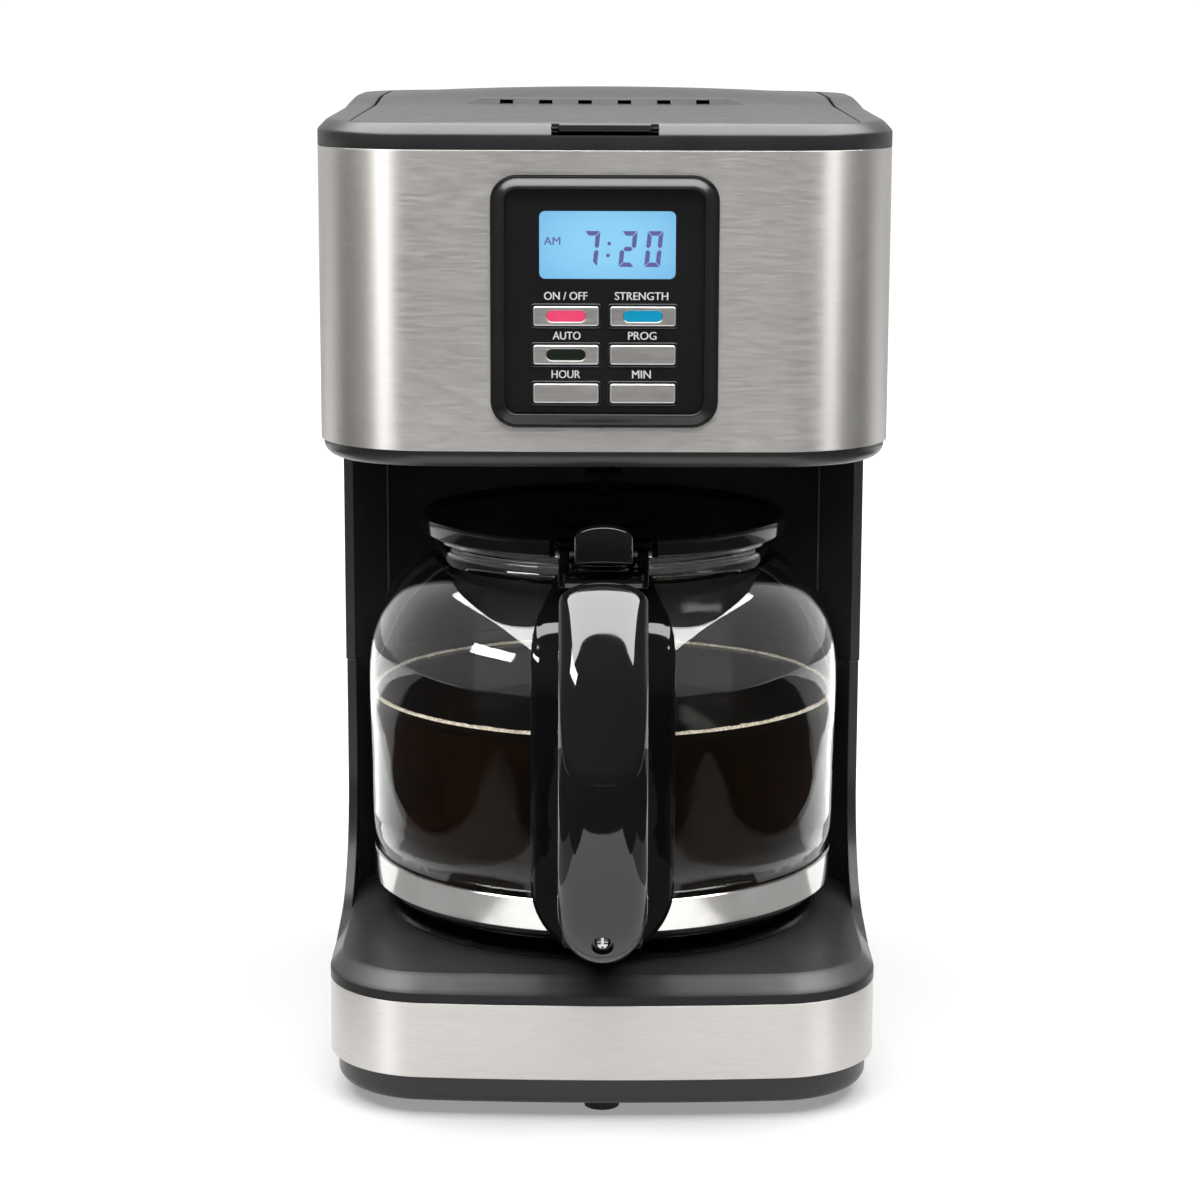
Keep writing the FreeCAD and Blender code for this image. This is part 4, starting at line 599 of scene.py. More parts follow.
def handle_frame():
    sh = Shape()
    # grip core: rounded section between the seat of the cover and the finger side
    seat = []
    for i in range(1, 61):
        s = outer.length * i / 60
        y, z, ny, nz = outer.frame(s)
        t = lerp_table(thick, s)[0] + 0.4
        seat.append((y + ny * t, z + nz * t))
    top = [(40.5, 182.8), (30.0, 184.6), (16.0, 185.6), (6.0, 186.0), (1.5, 185.6), (0.2, 184.6), (1.6, 181.9)]
    out_line = Line(top + seat[1:] + [(12.0, 60.7), (20.3, 61.0)], 6)
    in_line = Line([(40.5, 174.2), (36.0, 172.4)] + INNER, 10)
    rows = []
    hw, rr = 13.3, 4.2
    for i in range(121):
        a = out_line.at(out_line.length * i / 120)
        b = in_line.at(in_line.length * (i / 120) ** 1.0)
        dy, dz = b[0] - a[0], b[1] - a[1]
        d = math.hypot(dy, dz)
        dy, dz = dy / d, dz / d
        r = min(rr, d * 0.45)
        sec = [(-hw + 0.6, 0.0), (hw - 0.6, 0.0), (hw, 0.6), (hw, d - r)]
        sec += [(hw - r + r * math.cos(k * math.pi / 12), d - r + r * math.sin(k * math.pi / 12)) for k in range(1, 7)]
        sec += [(-hw + r - r * math.sin(k * math.pi / 12), d - r + r * math.cos(k * math.pi / 12)) for k in range(0, 7)]
        sec += [(-hw, 0.6)]
        rows.append([(x, a[0] + dy * e, a[1] + dz * e) for x, e in sec])
    sh.grid(rows, True, True, True)
    # knuckle guard: bowed strip round the glass, thick in its middle and rounded at its rim
    line = Line([(r, z) for r, z in GUARD], 10)
    zs = [51.7 + 24.6 * (1 - math.cos(math.pi / 2 * i / 16)) for i in range(17)]
    zs += [76.3 + (179.2 - 76.3) * i / 60 for i in range(1, 61)]
    rows = []
    for z in zs:
        zc = max(56.0, z)
        r_in = min(zip(line.s, line.p), key=lambda q: abs(q[1].y - zc))[1].x if zc > 56 else 83.9
        if z < 76.3:
            hw = 24.5 * math.sqrt(max(0.0, 1 - ((76.3 - z) / 24.6) ** 2)) + 0.05
        else:
            hw = lerp_table([(76.3, 24.5), (156.0, 24.5), (162.0, 23.9), (167.0, 22.4), (172.0, 19.6), (177.0, 17.0), (181.0, 16.2)], z)[0]
        th = 3.2 * max(0.5, min(1.0, (184 - z) / 30.0))
        th *= min(1.0, hw / 3.0)
        lift = 1.3 * smooth(148.0, 172.0, z)
        row = []
        n = 26
        for j in range(n + 1):
            x = hw * math.sin(-math.pi / 2 + math.pi * j / n)
            e = th * (0.5 + 0.5 * (1 - min(1.0, abs(x) / hw) ** 6) ** 0.5)
            row.append((x, 105 - math.sqrt((r_in + e) ** 2 - x * x), z + lift))
        for j in range(1, n):
            x = hw * math.sin(math.pi / 2 - math.pi * j / n)
            e = th * (0.5 - 0.5 * (1 - min(1.0, abs(x) / hw) ** 6) ** 0.5)
            row.append((x, 105 - math.sqrt((r_in + e) ** 2 - x * x), z + lift * 0.0))
        rows.append(row)
    sh.grid(rows, True, True, True)
    # lugs for the pin of the pot's lid
    for sx in (-1, 1):
        side = rounded([(34.6, 177.0), (40.8, 179.6), (40.8, 187.6), (39.4, 190.3), (37.0, 190.3), (35.8, 187.6)], [0.5, 0.5, 1.6, 1.8, 1.8, 1.8], 6)
        rows = []
        for x, inset in ((11.6, 0.5), (11.8, 0.15), (12.1, 0.0), (14.7, 0.0), (15.1, 0.18), (15.35, 0.6)):
            cy = sum(p[0] for p in side) / len(side)
            cz = sum(p[1] for p in side) / len(side)
            rows.append([(sx * x, cy + (y - cy) * (1 - inset / 4.0), cz + (z - cz) * (1 - inset / 7.0)) for y, z in side])
        sh.grid(rows, True, True, True)
    return sh.done("handle_frame", 38.0)


piece(handle_frame(), "guard", "carafe", "black_gloss", "handle_body")


# ------------------------------------------------------------------ thumb lever
def lever():
    prof = [(36.0, 186.0), (40.4, 186.0), (42.6, 187.0), (43.2, 190.1), (46.0, 190.3), (46.0, 192.8), (40.0, 193.3), (28.0, 192.9), (17.5, 193.9), (12.4, 197.4),
            (10.2, 203.9), (3.4, 203.9), (2.9, 196.0), (3.2, 191.6), (6.0, 190.8), (20.0, 189.2), (33.2, 187.7)]
    prof = rounded(prof, [1.0, 1.2, 1.0, 0.5, 0.2, 0.6, 2.0, 6.0, 5.0, 6.0, 1.2, 0.8, 3.0, 1.2, 1.6, 6.0, 3.0], 6)
    sh = Shape()
    rows = []
    n = 36
    for i in range(n + 1):
        x = 9.6 * math.sin(-math.pi / 2 + math.pi * i / n)
        u = min(1.0, abs(x) / 9.6)
        edge = 0.9 * (1 - math.sqrt(max(0.0, 1 - max(0.0, (abs(x) - 8.6) / 1.0) ** 2)))
        row = []
        for k, (y, z) in enumerate(prof):
            (ya, za), (yb, zb) = prof[k - 1], prof[(k + 1) % len(prof)]
            d = math.hypot(yb - ya, zb - za) or 1.0
            ny, nz = -(zb - za) / d, (yb - ya) / d
            drop = 5.0 * (1 - math.sqrt(max(0.0, 1 - u * u * 0.90))) * smooth(195.0, 203.0, z)
            scoop = 1.6 * (u ** 2) * smooth(14.0, 3.0, y) * smooth(190.0, 193.0, z)
            row.append((x, y + ny * edge + scoop, z + nz * edge - drop))
        rows.append(row)
    sh.grid(rows, True, True, True)
    return sh.done("thumb_lever", 40.0)


piece(lever(), "gloss", "carafe_lid", "black_gloss", "lid_thumb_lever")


# ------------------------------------------------------------------ pot lid
def pot_lid():
    prof = [(4.0, 188.8), (53.5, 188.8), (53.5, 181.0), (55.5, 181.0), (56.2, 189.8), (62.0, 189.8), (62.0, 186.6), (65.7, 186.6), (65.7, 193.0),
            (63.2, 193.0), (61.6, 191.3), (20.2, 190.9), (17.0, 194.0), (16.4, 194.5), (6.0, 194.5), (4.0, 193.3)]
    prof = rounded(prof, [0.3, 0.4, 0.5, 0.5, 0.5, 0.5, 0.4, 1.0, 1.2, 0.8, 1.4, 2.5, 0.8, 0.5, 0.8, 0.3], 5)
    seg = 220
    rows = []
    for i in range(seg):
        a = 2 * math.pi * i / seg
        row = []
        for r, z in prof:
            x, y = r * math.cos(a), r * math.sin(a)
            if abs(x) < 17.4 and y < -59.0:
                y = -59.0
            row.append((x, 105 + y, z))
        rows.append(row)
    rows.append(rows[0])
    return Shape().grid(rows, True, False, False).done("pot_lid", 35.0)


piece(pot_lid(), "pot_lid", "carafe_lid", "black_gloss", "carafe_lid")

# ------------------------------------------------------------------ coffee and its foam line
POT = [(66.0, 50.4), (74.2, 52.6), (80.0, 57.0), (82.3, 62.0), (82.4, 71.0), (83.7, 75.5), (84.5, 83.0), (84.6, 100.0),
       (85.0, 118.0), (85.2, 136.0)]
LEVEL = 128.2


def pot_inside(shift):
    line = Line(POT, 8)
    pts = []
    for i in range(61):
        s = line.length * i / 60
        r, z, nr, nz = line.frame(s)
        pts.append((r + nr * shift, z + nz * shift))
    return pts


def wall_r(z):
    pts = pot_inside(2.2)
    return min(pts, key=lambda p: abs(p[1] - z))[0]


def coffee():
    wall = [p for p in pot_inside(2.32) if p[1] < LEVEL - 0.4]
    prof = [(0.0, 52.75), (63.0, 52.75)] + [p for p in wall if p[1] > 53.2]
    r = wall[-1][0]
    prof += [(r, LEVEL + 0.5), (r - 0.5, LEVEL + 0.35), (r - 1.4, LEVEL + 0.1), (r - 3.0, LEVEL), (40.0, LEVEL), (0.0, LEVEL)]
    return turned(Shape(), prof, seg=180).done("coffee", 40.0)


def foam():
    r0 = wall_r(LEVEL) - 0.16
    rows = []
    seg = 720
    for i in range(seg):
        a = 2 * math.pi * i / seg
        p = Vector((math.cos(a) * 9, math.sin(a) * 9, 0.0))
        n1 = noise.noise(p * 1.7) + 0.6 * noise.noise(p * 5.1 + Vector((3, 1, 0)))
        n2 = noise.noise(p * 9.0 + Vector((0, 7, 2)))
        up = 0.80 + 0.22 * n1 + 0.20 * n2
        down = 0.75 + 0.35 * noise.noise(p * 2.3 + Vector((5, 5, 5))) + 0.6 * max(0.0, noise.noise(p * 7.0 + Vector((9, 0, 4))))
        deep = 1.1 + 0.4 * n1
        near = 0.72 + 0.62 * smooth(-0.35, 0.55, -math.sin(a))
        up, down, deep = max(0.16, up) * near, max(0.10, down) * near, deep * near
        zc = LEVEL + 0.55 + 0.12 * noise.noise(p * 0.8)
        ring = [(r0, zc + up), (r0, zc), (r0, zc - down), (r0 - 0.35 * deep, zc - down - 0.05), (r0 - deep, zc - 0.35 * down), (r0 - deep * 0.95, zc + 0.3 * up), (r0 - 0.45 * deep, zc + up * 0.95)]
        rows.append([(r * math.cos(a), 105 + r * math.sin(a), z) for r, z in ring])
    rows.append(rows[0])
    return Shape().grid(rows, True, False, False).done("coffee_foam", 60.0)


piece(coffee(), "coffee", "carafe")
piece(foam(), "foam", "carafe")


# ------------------------------------------------------------------ collar and lid of the head
def plan(inset, hw=95.1, y1=235.0, bow=2600.0, rf=38.0, rb=40.0):
    """Outline of the head from above: bowed front, rounded corners; the same number of points at every inset."""
    hw, y0, y1, bow, rf, rb = hw - inset, inset, y1 - inset, bow - inset, rf - inset, rb - inset
    rise = math.sqrt((bow - rf) ** 2 - (hw - rf) ** 2)
    cy, a0 = y0 + bow - rise, math.atan2(hw - rf, rise)
    pts = []

    def arc(cx, cyy, r, a, b, n):
        pts.extend((cx + r * math.cos(a + (b - a) * i / n), cyy + r * math.sin(a + (b - a) * i / n)) for i in range(n))

    def run(p, e, n):
        pts.extend((p[0] + (e[0] - p[0]) * i / n, p[1] + (e[1] - p[1]) * i / n) for i in range(n))

    run((hw, cy), (hw, y1 - rb), 60)
    arc(hw - rb, y1 - rb, rb, 0, math.pi / 2, 20)
    run((hw - rb, y1), (rb - hw, y1), 24)
    arc(rb - hw, y1 - rb, rb, math.pi / 2, math.pi, 20)
    run((-hw, y1 - rb), (-hw, cy), 60)
    arc(rf - hw, cy, rf, math.pi, 1.5 * math.pi - a0, 28)
    arc(0.0, y0 + bow, bow, 1.5 * math.pi - a0, 1.5 * math.pi + a0, 40)
    arc(hw - rf, cy, rf, 1.5 * math.pi + a0, 2 * math.pi, 28)
    return pts


def rim_z(y):
    if y <= 120.0:
        return 334.45 + (y + 20.0) * 1.85 / 140.0
    if y <= 168.0:
        return 336.3 + 2.6 * smooth(120.0, 168.0, y)
    return 338.9 + (y - 168.0) * 0.4 / 92.0


def cut_with(ob, lo, hi, sharp=32.0):
    """Take a box-shaped room out of a piece."""
    tool = Shape().grid([[(lo[0], lo[1], z), (hi[0], lo[1], z), (hi[0], hi[1], z), (lo[0], hi[1], z)] for z in (lo[2], hi[2])]).done("room")
    mod = ob.modifiers.new("room", "BOOLEAN")
    mod.operation, mod.solver, mod.object = "DIFFERENCE", "EXACT", tool
    bpy.context.view_layer.update()
    me = bpy.data.meshes.new_from_object(ob.evaluated_get(bpy.context.evaluated_depsgraph_get()))
    ob.modifiers.clear()
    ob.data = me
    bpy.data.objects.remove(tool)
    me.shade_smooth()
    me.set_sharp_from_angle(angle=math.radians(sharp))
    return ob


def joined(name, obs, sharp=32.0):
    bm = bmesh.new()
    for ob in obs:
        bm.from_mesh(ob.data)
    me = bpy.data.meshes.new(name)
    bm.to_mesh(me)
    bm.free()
    for ob in obs:
        bpy.data.objects.remove(ob)
    me.shade_smooth()
    me.set_sharp_from_angle(angle=math.radians(sharp))
    ob = bpy.data.objects.new(name, me)
    scene.collection.objects.link(ob)
    return ob


def bar(shape, prof, xs):
    """Side profile drawn out across the machine; xs is a list of (x, shrink)."""
    cy, cz = sum(p[0] for p in prof) / len(prof), sum(p[1] for p in prof) / len(prof)
    shape.grid([[(x, cy + (y - cy) * k, cz + (z - cz) * k) for y, z in prof] for x, k in xs])
    return shape


def collar():
    def clamp(p, hx, ya, yb):
        return max(-hx, min(hx, p[0])), max(ya, min(yb, p[1]))

    rows = [[(x, y, z) for x, y in plan(d)] for d, z in ((0.35, 326.4), (0.07, 326.5), (0.0, 326.8))]
    for d, h in ((0.0, -4.1), (0.06, -3.72), (0.22, -3.36), (0.52, -2.95), (1.5, -1.9), (2.6, -0.82), (2.95, -0.50), (3.25, -0.27), (3.6, -0.09), (3.9, -0.02)):
        rows.append([(x, y, rim_z(y) + h) for x, y in plan(d)])
    for hx, yb, h in ((83.5, 218.6, 0.0), (83.25, 218.35, -0.06), (83.1, 218.2, -0.3)):
        rows.append([(x, y, rim_z(y) + h) for x, y in (clamp(p, hx, 0.0, yb) for p in plan(3.95))])
    rows.append([(*clamp(p, 83.1, 0.0, 218.2), 331.2) for p in plan(3.95)])
    rows.append([(*clamp(p, 80.0, 12.0, 207.0), 331.2) for p in plan(3.95)])
    rows.append([(*clamp(p, 80.0, 12.0, 207.0), 326.4) for p in plan(3.95)])
    ob = Shape().grid(rows + [rows[0]], True, False, False).done("collar", 32.0)
    cut_with(ob, (-17.2, -6.0, 331.0), (17.2, 6.2, 345.0))
    ribs = Shape()
    for sx in (-1, 1):
        for z in (331.9, 333.0):
            prof = rounded([(1.6, z), (1.6, z + 0.45), (6.0, z + 0.45), (6.0, z)], 0.12, 2)
            bar(ribs, prof, [(sx * 14.95, 0.9), (sx * 15.1, 1.0), (sx * 17.3, 1.0)])
    return joined("collar_top", [ob, ribs.done("ribs")])


piece(collar(), "lid", "machine", "black_satin", "top_collar")

LID_LINE = [(4.0, 334.75, 0.2), (60.0, 335.45, 0.6), (118.0, 336.3, 1.1), (168.0, 338.9, 3.14), (196.0, 339.1, 2.4), (213.0, 339.1, 0.3)]


def lid_z(x, y):
    z, crown = LID_LINE[0][1:]
    for (ya, za, ca), (yb, zb, cb) in zip(LID_LINE, LID_LINE[1:]):
        if y >= ya:
            u = min(1.0, (y - ya) / (yb - ya))
            if ya >= 118.0:
                u = u * u * (3 - 2 * u)
            z, crown = za + u * (zb - za), ca + u * (cb - ca)
    return z + crown * (1 - (x / 82.6) ** 2)


def lid_front(x):
    ins, ax = 4.1, abs(x)
    if ax > 57.86:
        return 38.64 - math.sqrt((38.0 - ins) ** 2 - (ax - 57.1) ** 2)
    return 2600.0 - math.sqrt((2600.0 - ins) ** 2 - x * x)


def head_lid():
    near = [0.0, 0.04, 0.12, 0.25, 0.42, 0.62, 0.9]
    half = [82.7 - d for d in near] + [80.0 - 4.0 * i for i in range(20)]
    xs = [-x for x in half] + [0.0] + list(reversed(half))
    n = len(xs)
    steps = [("f", d) for d in near] + [("t", i / 60.0) for i in range(1, 60)] + [("b", d) for d in reversed(near)]
    top, bot = [], []
    for kind, val in steps:
        for x in xs:
            yf = lid_front(x)
            y = yf + val if kind == "f" else 213.0 - val if kind == "b" else yf + 1.2 + (213.0 - yf - 2.4) * val
            xx = x * (82.7 - 0.75 * smooth(60.0, 160.0, y)) / 82.7
            d = min(82.7 - abs(x), y - yf, 213.0 - y)
            r = 0.6
            drop = r - math.sqrt(max(0.0, r * r - max(0.0, r - d) ** 2))
            top.append((xx, y, lid_z(x, y) - drop))
            bot.append((xx, y, lid_z(x, y) - 2.6))
    m = len(steps)
    v = [P(*p) for p in top + bot]
    o = len(top)
    f = []
    for i in range(m - 1):
        for j in range(n - 1):
            a, b, c, d = i * n + j, i * n + j + 1, (i + 1) * n + j + 1, (i + 1) * n + j
            f += [(a, b, c, d), (o + d, o + c, o + b, o + a)]
    edge = [j for j in range(n)] + [i * n + n - 1 for i in range(1, m)] + [(m - 1) * n + j for j in reversed(range(n - 1))] + [i * n for i in reversed(range(1, m - 1))]
    for a, b in zip(edge, edge[1:] + edge[:1]):
        f.append((a, o + a, o + b, b))
    skin = make("lid_skin", v, f, 35.0)

    def terrace(d):
        """Raised field with the steam vents in its rising front; d moves its outline inwards."""
        hx, r, yb = 44.0 - d, 125.0 - d, 178.0 - d
        a = math.asin(min(1.0, hx / r))
        pts = [(r * math.sin(-a + 2 * a * i / 48), 243.0 - r * math.cos(-a + 2 * a * i / 48)) for i in range(49)]
        return pts + [(hx, pts[-1][1] + (yb - pts[-1][1]) * k / 6) for k in range(1, 7)] + [(-hx, yb + (pts[0][1] - yb) * k / 6) for k in range(0, 6)]

    rows = [[(x, y, z) for x, y in terrace(d)] for d, z in ((-7.0, 335.2), (-7.0, 336.75), (-4.5, 337.5), (-2.0, 338.3), (-0.6, 338.76), (-0.15, 338.9), (0.3, 338.97), (1.0, 339.0))]
    step = Shape().grid(rows).done("terrace", 40.0)
    for i in range(6):
        x = -35.0 + 14.0 * i
        cut_with(step, (x - 2.4, 100.0, 336.6), (x + 2.4, 131.0 + abs(x) * 0.12, 338.62), 40.0)
    tab = Shape()
    prof = rounded([(0.6, 332.2), (0.6, 334.3), (1.1, 334.8), (8.0, 334.9), (8.0, 332.1)], [0.7, 0.6, 0.5, 0.1, 0.1], 5)
    bar(tab, prof, [(-14.7, 0.92), (-14.62, 0.97), (-14.4, 1.0)] + [(-14.0 + 2.0 * i, 1.0) for i in range(15)] + [(14.4, 1.0), (14.62, 0.97), (14.7, 0.92)])
    ring = [(213.0 + 3.2 * math.cos(2 * math.pi * k / 40), 336.1 + 3.2 * math.sin(2 * math.pi * k / 40)) for k in range(40)]
    bar(tab, ring, [(-81.1, 0.9), (-80.8, 1.0)] + [(-80.0 + 8.0 * i, 1.0) for i in range(21)] + [(80.8, 1.0), (81.1, 0.9)])
    return joined("head_lid", [skin, step, tab.done("tab", 35.0)], 35.0)


piece(head_lid(), "lid", "lid", "black_satin", "lid")


# ------------------------------------------------------------------ control panel frame and buttons
def rrect(a, b, r, n=9):
    """Rounded rectangle about its centre, the same number of points at every size."""
    out = []
    for cx, cz, t in ((a - r, b - r, 0.0), (r - a, b - r, 0.5), (r - a, r - b, 1.0), (a - r, r - b, 1.5)):
        out += [(cx + r * math.cos((t + 0.5 * k / n) * math.pi), cz + r * math.sin((t + 0.5 * k / n) * math.pi)) for k in range(n + 1)]
    return out


def framed(shape, cx, cz, a, b, r, prof, least=0.5, close=True):
    """Section (inset, y) carried round a rounded rectangle."""
    rows = [[(cx + x, y, cz + z) for x, z in rrect(a - d, b - d, max(least, r - d))] for d, y in prof]
    shape.grid(rows + ([rows[0]] if close else []), True, not close, not close)
    return shape


BEZEL = [(4.2, 4.4), (4.2, 0.1), (0.0, 0.1), (0.0, -0.30), (0.07, -0.50), (0.25, -0.64), (0.5, -0.66), (0.72, -0.56), (0.9, -0.46), (1.1, -0.46), (1.4, -0.58),
         (1.9, -0.90), (2.4, -1.24), (2.9, -1.58), (3.4, -1.90), (3.85, -2.14), (4.2, -2.28), (4.42, -2.26), (4.58, -2.08), (4.66, -1.8), (4.7, -0.2), (4.7, 4.4)]
piece(framed(Shape(), 0.0, 278.05, 36.85, 40.85, 8.7, BEZEL).done("panel_frame", 50.0), "bezel", "machine", "bezel_black", "panel_bezel")


def button(nm, x, z, lit):
    a, b, r = 10.55, 3.175, 0.75
    prof = [(-0.9, 4.3), (-0.9, 3.1), (0.0, 3.1), (0.0, -0.45), (0.04, -0.62), (0.11, -0.77), (0.21, -0.89), (0.33, -0.97), (0.45, -1.0)]
    rows = [[(x + u, y, z + w) for u, w in rrect(a - d, b - d, max(0.35, r - d * 0.5))] for d, y in prof]
    if lit:
        for d, y in ((-0.28, -1.0), (-0.10, -0.94), (0.0, -0.78), (0.0, 4.3)):
            rows.append([(x + u, y, z + w) for u, w in rrect(6.3 - d, 1.85 - d, 1.84 - d)])
        ob = Shape().grid(rows + [rows[0]], True, False, False).done("cap_" + nm, 50.0)
    else:
        ob = Shape().grid(rows, True, True, True).done("cap_" + nm, 50.0)
    piece(ob, "button", "button_" + nm, "button_silver", "button_" + nm)
    # the front bevel of each button takes the glowing edge finish: painted highlight
    ob.data.materials.append(M["button_edge_painted_glow"])
    for p in ob.data.polygons:
        y = p.center.y * 1000.0 - YS
        if -0.99 < y < -0.25 and (abs(p.center.x * 1000.0 - x) > 9.6 or abs(p.center.z * 1000.0 - z) > 2.4):
            p.material_index = 1


ROWS = {"on_off": (-12.4, 273.5, True), "strength": (12.4, 273.5, True), "auto": (-12.4, 261.0, True),
        "program": (12.4, 261.0, False), "hour": (-12.4, 248.5, False), "minute": (12.4, 248.5, False)}
rims = Shape()
for nm, (x, z, lit) in ROWS.items():
    button(nm, x, z, lit)
    framed(rims, x, z, 11.45, 4.05, 1.3, [(0.0, -0.2), (0.0, -0.42), (0.06, -0.56), (0.18, -0.64), (0.30, -0.60), (0.38, -0.50), (0.40, -0.2)], 0.6)
piece(rims.done("button_rims", 50.0), "bezel", "machine", "bezel_black")


# ------------------------------------------------------------------ handle screw
def handle_screw():
    prof = [(0.05, -25.62), (0.9, -25.58), (1.7, -25.42), (2.25, -25.12), (2.55, -24.7), (2.62, -24.3), (2.62, -23.9), (2.5, -23.7), (1.5, -23.6), (1.5, -10.2), (1.2, -9.8), (0.05, -9.8)]
    seg = 48
    rows = [[(r * math.cos(2 * math.pi * i / seg), y, 71.0 + r * math.sin(2 * math.pi * i / seg)) for i in range(seg)] for r, y in prof]
    ob = Shape().grid(rows).done("screw_pan", 40.0)
    cut_with(ob, (-1.75, -27.0, 70.6), (1.75, -24.5, 71.4), 40.0)
    cut_with(ob, (-0.4, -27.0, 69.25), (0.4, -24.5, 72.75), 40.0)
    return ob


piece(handle_screw(), "screw", "carafe", "zinc_steel", "handle_screw")


# ------------------------------------------------------------------ spring of the drip stop
def stop_coil():
    """Coil from the flange of the plunger up to the floor of the basket."""
    rows, n = [], 280
    for i in range(n + 1):
        t = 2 * math.pi * (28.6 / 4.1) * i / n
        z = 208.3 + 28.6 * i / n
        ring = [(4.1 + 0.42 * math.cos(b * math.pi / 5), 0.42 * math.sin(b * math.pi / 5)) for b in range(10)]
        rows.append([(r * math.cos(t), 105 + r * math.sin(t), z + dz) for r, dz in ring])
    return Shape().grid(rows, True, True, True).done("stop_coil", 60.0)


# painted shade: the steel spring is dressed in the near-black shade finish
coil = piece(stop_coil(), "shade", "machine", None, "drip_stop_spring")
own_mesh(coil)


# ------------------------------------------------------------------ panel print and display figures
def flat(name, polys, y, depth, mat, slot=None):
    sh = Shape()
    for poly in polys:
        sh.grid([[(x, y, z) for x, z in poly], [(x, y - depth, z) for x, z in poly]], True, True, True)
    return piece(sh.done(name, 30.0), mat, "machine", slot)


def seven(ch):
    return {"0": "abcdef", "2": "abged", "7": "abc"}[ch]


def digit(ch, x0, z0, w, h, t, slant):
    """Seven bar figure; bars are mitred and kept a hair apart."""
    g = 0.24
    bars = {
        "a": [(g, h), (w - g, h), (w - t - g * 0, h - t), (t + g * 0, h - t)],
        "d": [(t, t), (w - t, t), (w - g, 0), (g, 0)],
        "g": [(t * 0.55 + g, h / 2), (t + g, h / 2 + t / 2), (w - t - g, h / 2 + t / 2), (w - t * 0.55 - g, h / 2), (w - t - g, h / 2 - t / 2), (t + g, h / 2 - t / 2)],
        "f": [(0, h - g), (t, h - t - g), (t, h / 2 + t * 0.5 + g), (t * 0.5, h / 2 + g), (0, h / 2 + t * 0.5)],
        "e": [(0, g), (0, h / 2 - t * 0.5), (t * 0.5, h / 2 - g), (t, h / 2 - t * 0.5 - g), (t, t + g)],
        "b": [(w, h - g), (w, h / 2 + t * 0.5), (w - t * 0.5, h / 2 + g), (w - t, h / 2 + t * 0.5 + g), (w - t, h - t - g)],
        "c": [(w, g), (w - t, t + g), (w - t, h / 2 - t * 0.5 - g), (w - t * 0.5, h / 2 - g), (w, h / 2 - t * 0.5)],
    }
    out = []
    for b in seven(ch):
        out.append([(x0 + x + slant * z, z0 + z) for x, z in bars[b]])
    return out


SL = 0.10
polys = digit("7", -7.6, 289.1, 5.1, 11.5, 1.45, SL) + digit("2", 4.37, 289.1, 5.1, 11.5, 1.45, SL) + digit("0", 12.7, 289.1, 5.1, 11.5, 1.45, SL)
for zc in (292.8, 296.6):
    x = 0.7 + SL * (zc - 289.1)
    polys.append([(x + 0.62 * math.cos(k * math.pi / 8), zc + 0.62 * math.sin(k * math.pi / 8)) for k in range(16)])
flat("display_time", polys, 2.98, 0.06, "digit")


def words(text, name, x, z, width, height, y, mat, slot=None):
    """A word cut from solid lettering, centred on (x, z)."""
    cu = bpy.data.curves.new(name + "_curve", "FONT")
    cu.body = text
    cu.size = 1.0
    cu.extrude = 0.03
    cu.resolution_u = 6
    tmp = bpy.data.objects.new(name + "_tmp", cu)
    scene.collection.objects.link(tmp)
    bpy.context.view_layer.update()
    me = bpy.data.meshes.new_from_object(tmp.evaluated_get(bpy.context.evaluated_depsgraph_get()))
    bpy.data.objects.remove(tmp)
    bpy.data.curves.remove(cu)
    xs = [v.co.x for v in me.vertices]
    ys = [v.co.y for v in me.vertices]
    kx, kz = width / (max(xs) - min(xs)), height / (max(ys) - min(ys))
    cx, cz = (max(xs) + min(xs)) / 2, (max(ys) + min(ys)) / 2
    for v in me.vertices:
        v.co = P(x + (v.co.x - cx) * kx, y - 0.05 - v.co.z * 1.0, z + (v.co.y - cz) * kz)
    bm = bmesh.new()
    for dx, dy in ((-0.06, 0.0), (0.06, 0.012)):
        half = me.copy()
        for v in half.vertices:
            v.co.x += dx / 1000.0
            v.co.y -= dy / 1000.0
        bm.from_mesh(half)
        bpy.data.meshes.remove(half)
    bmesh.ops.remove_doubles(bm, verts=bm.verts, dist=1e-7)
    bmesh.ops.recalc_face_normals(bm, faces=bm.faces)
    bm.to_mesh(me)
    bm.free()
    ob = bpy.data.objects.new(name, me)
    scene.collection.objects.link(ob)
    me.name = name
    return piece(ob, mat, "machine", slot)


words("AM", "display_am", -16.95, 297.4, 5.3, 2.55, 2.98, "digit")
for text, nm, x, z, w in (("ON / OFF", "label_on_off", -12.5, 280.0, 13.9), ("STRENGTH", "label_strength", 11.9, 280.0, 17.1),
                          ("AUTO", "label_auto", -12.2, 267.2, 8.9), ("PROG", "label_program", 12.2, 267.2, 9.1),
                          ("HOUR", "label_hour", -12.4, 254.7, 9.2), ("MIN", "label_minute", 12.0, 254.7, 6.0)):
    words(text, nm, x, z, w, 2.55, -0.32, "print")


# ------------------------------------------------------------------ floor, backdrop, light
def emitter(name, colour, power, base=0.0):
    m, nt, b = new_mat(name)
    b.inputs["Base Color"].default_value = (base, base, base, 1)
    b.inputs["Roughness"].default_value = 0.9
    b.inputs["Specular IOR Level"].default_value = 0.0
    b.inputs["Emission Color"].default_value = (*colour, 1)
    b.inputs["Emission Strength"].default_value = power
    return m


def disc(name, r, z, seg=128):
    return make(name, [(r * math.cos(2 * math.pi * i / seg), r * math.sin(2 * math.pi * i / seg), z) for i in range(seg)], [tuple(range(seg))], merge=0)


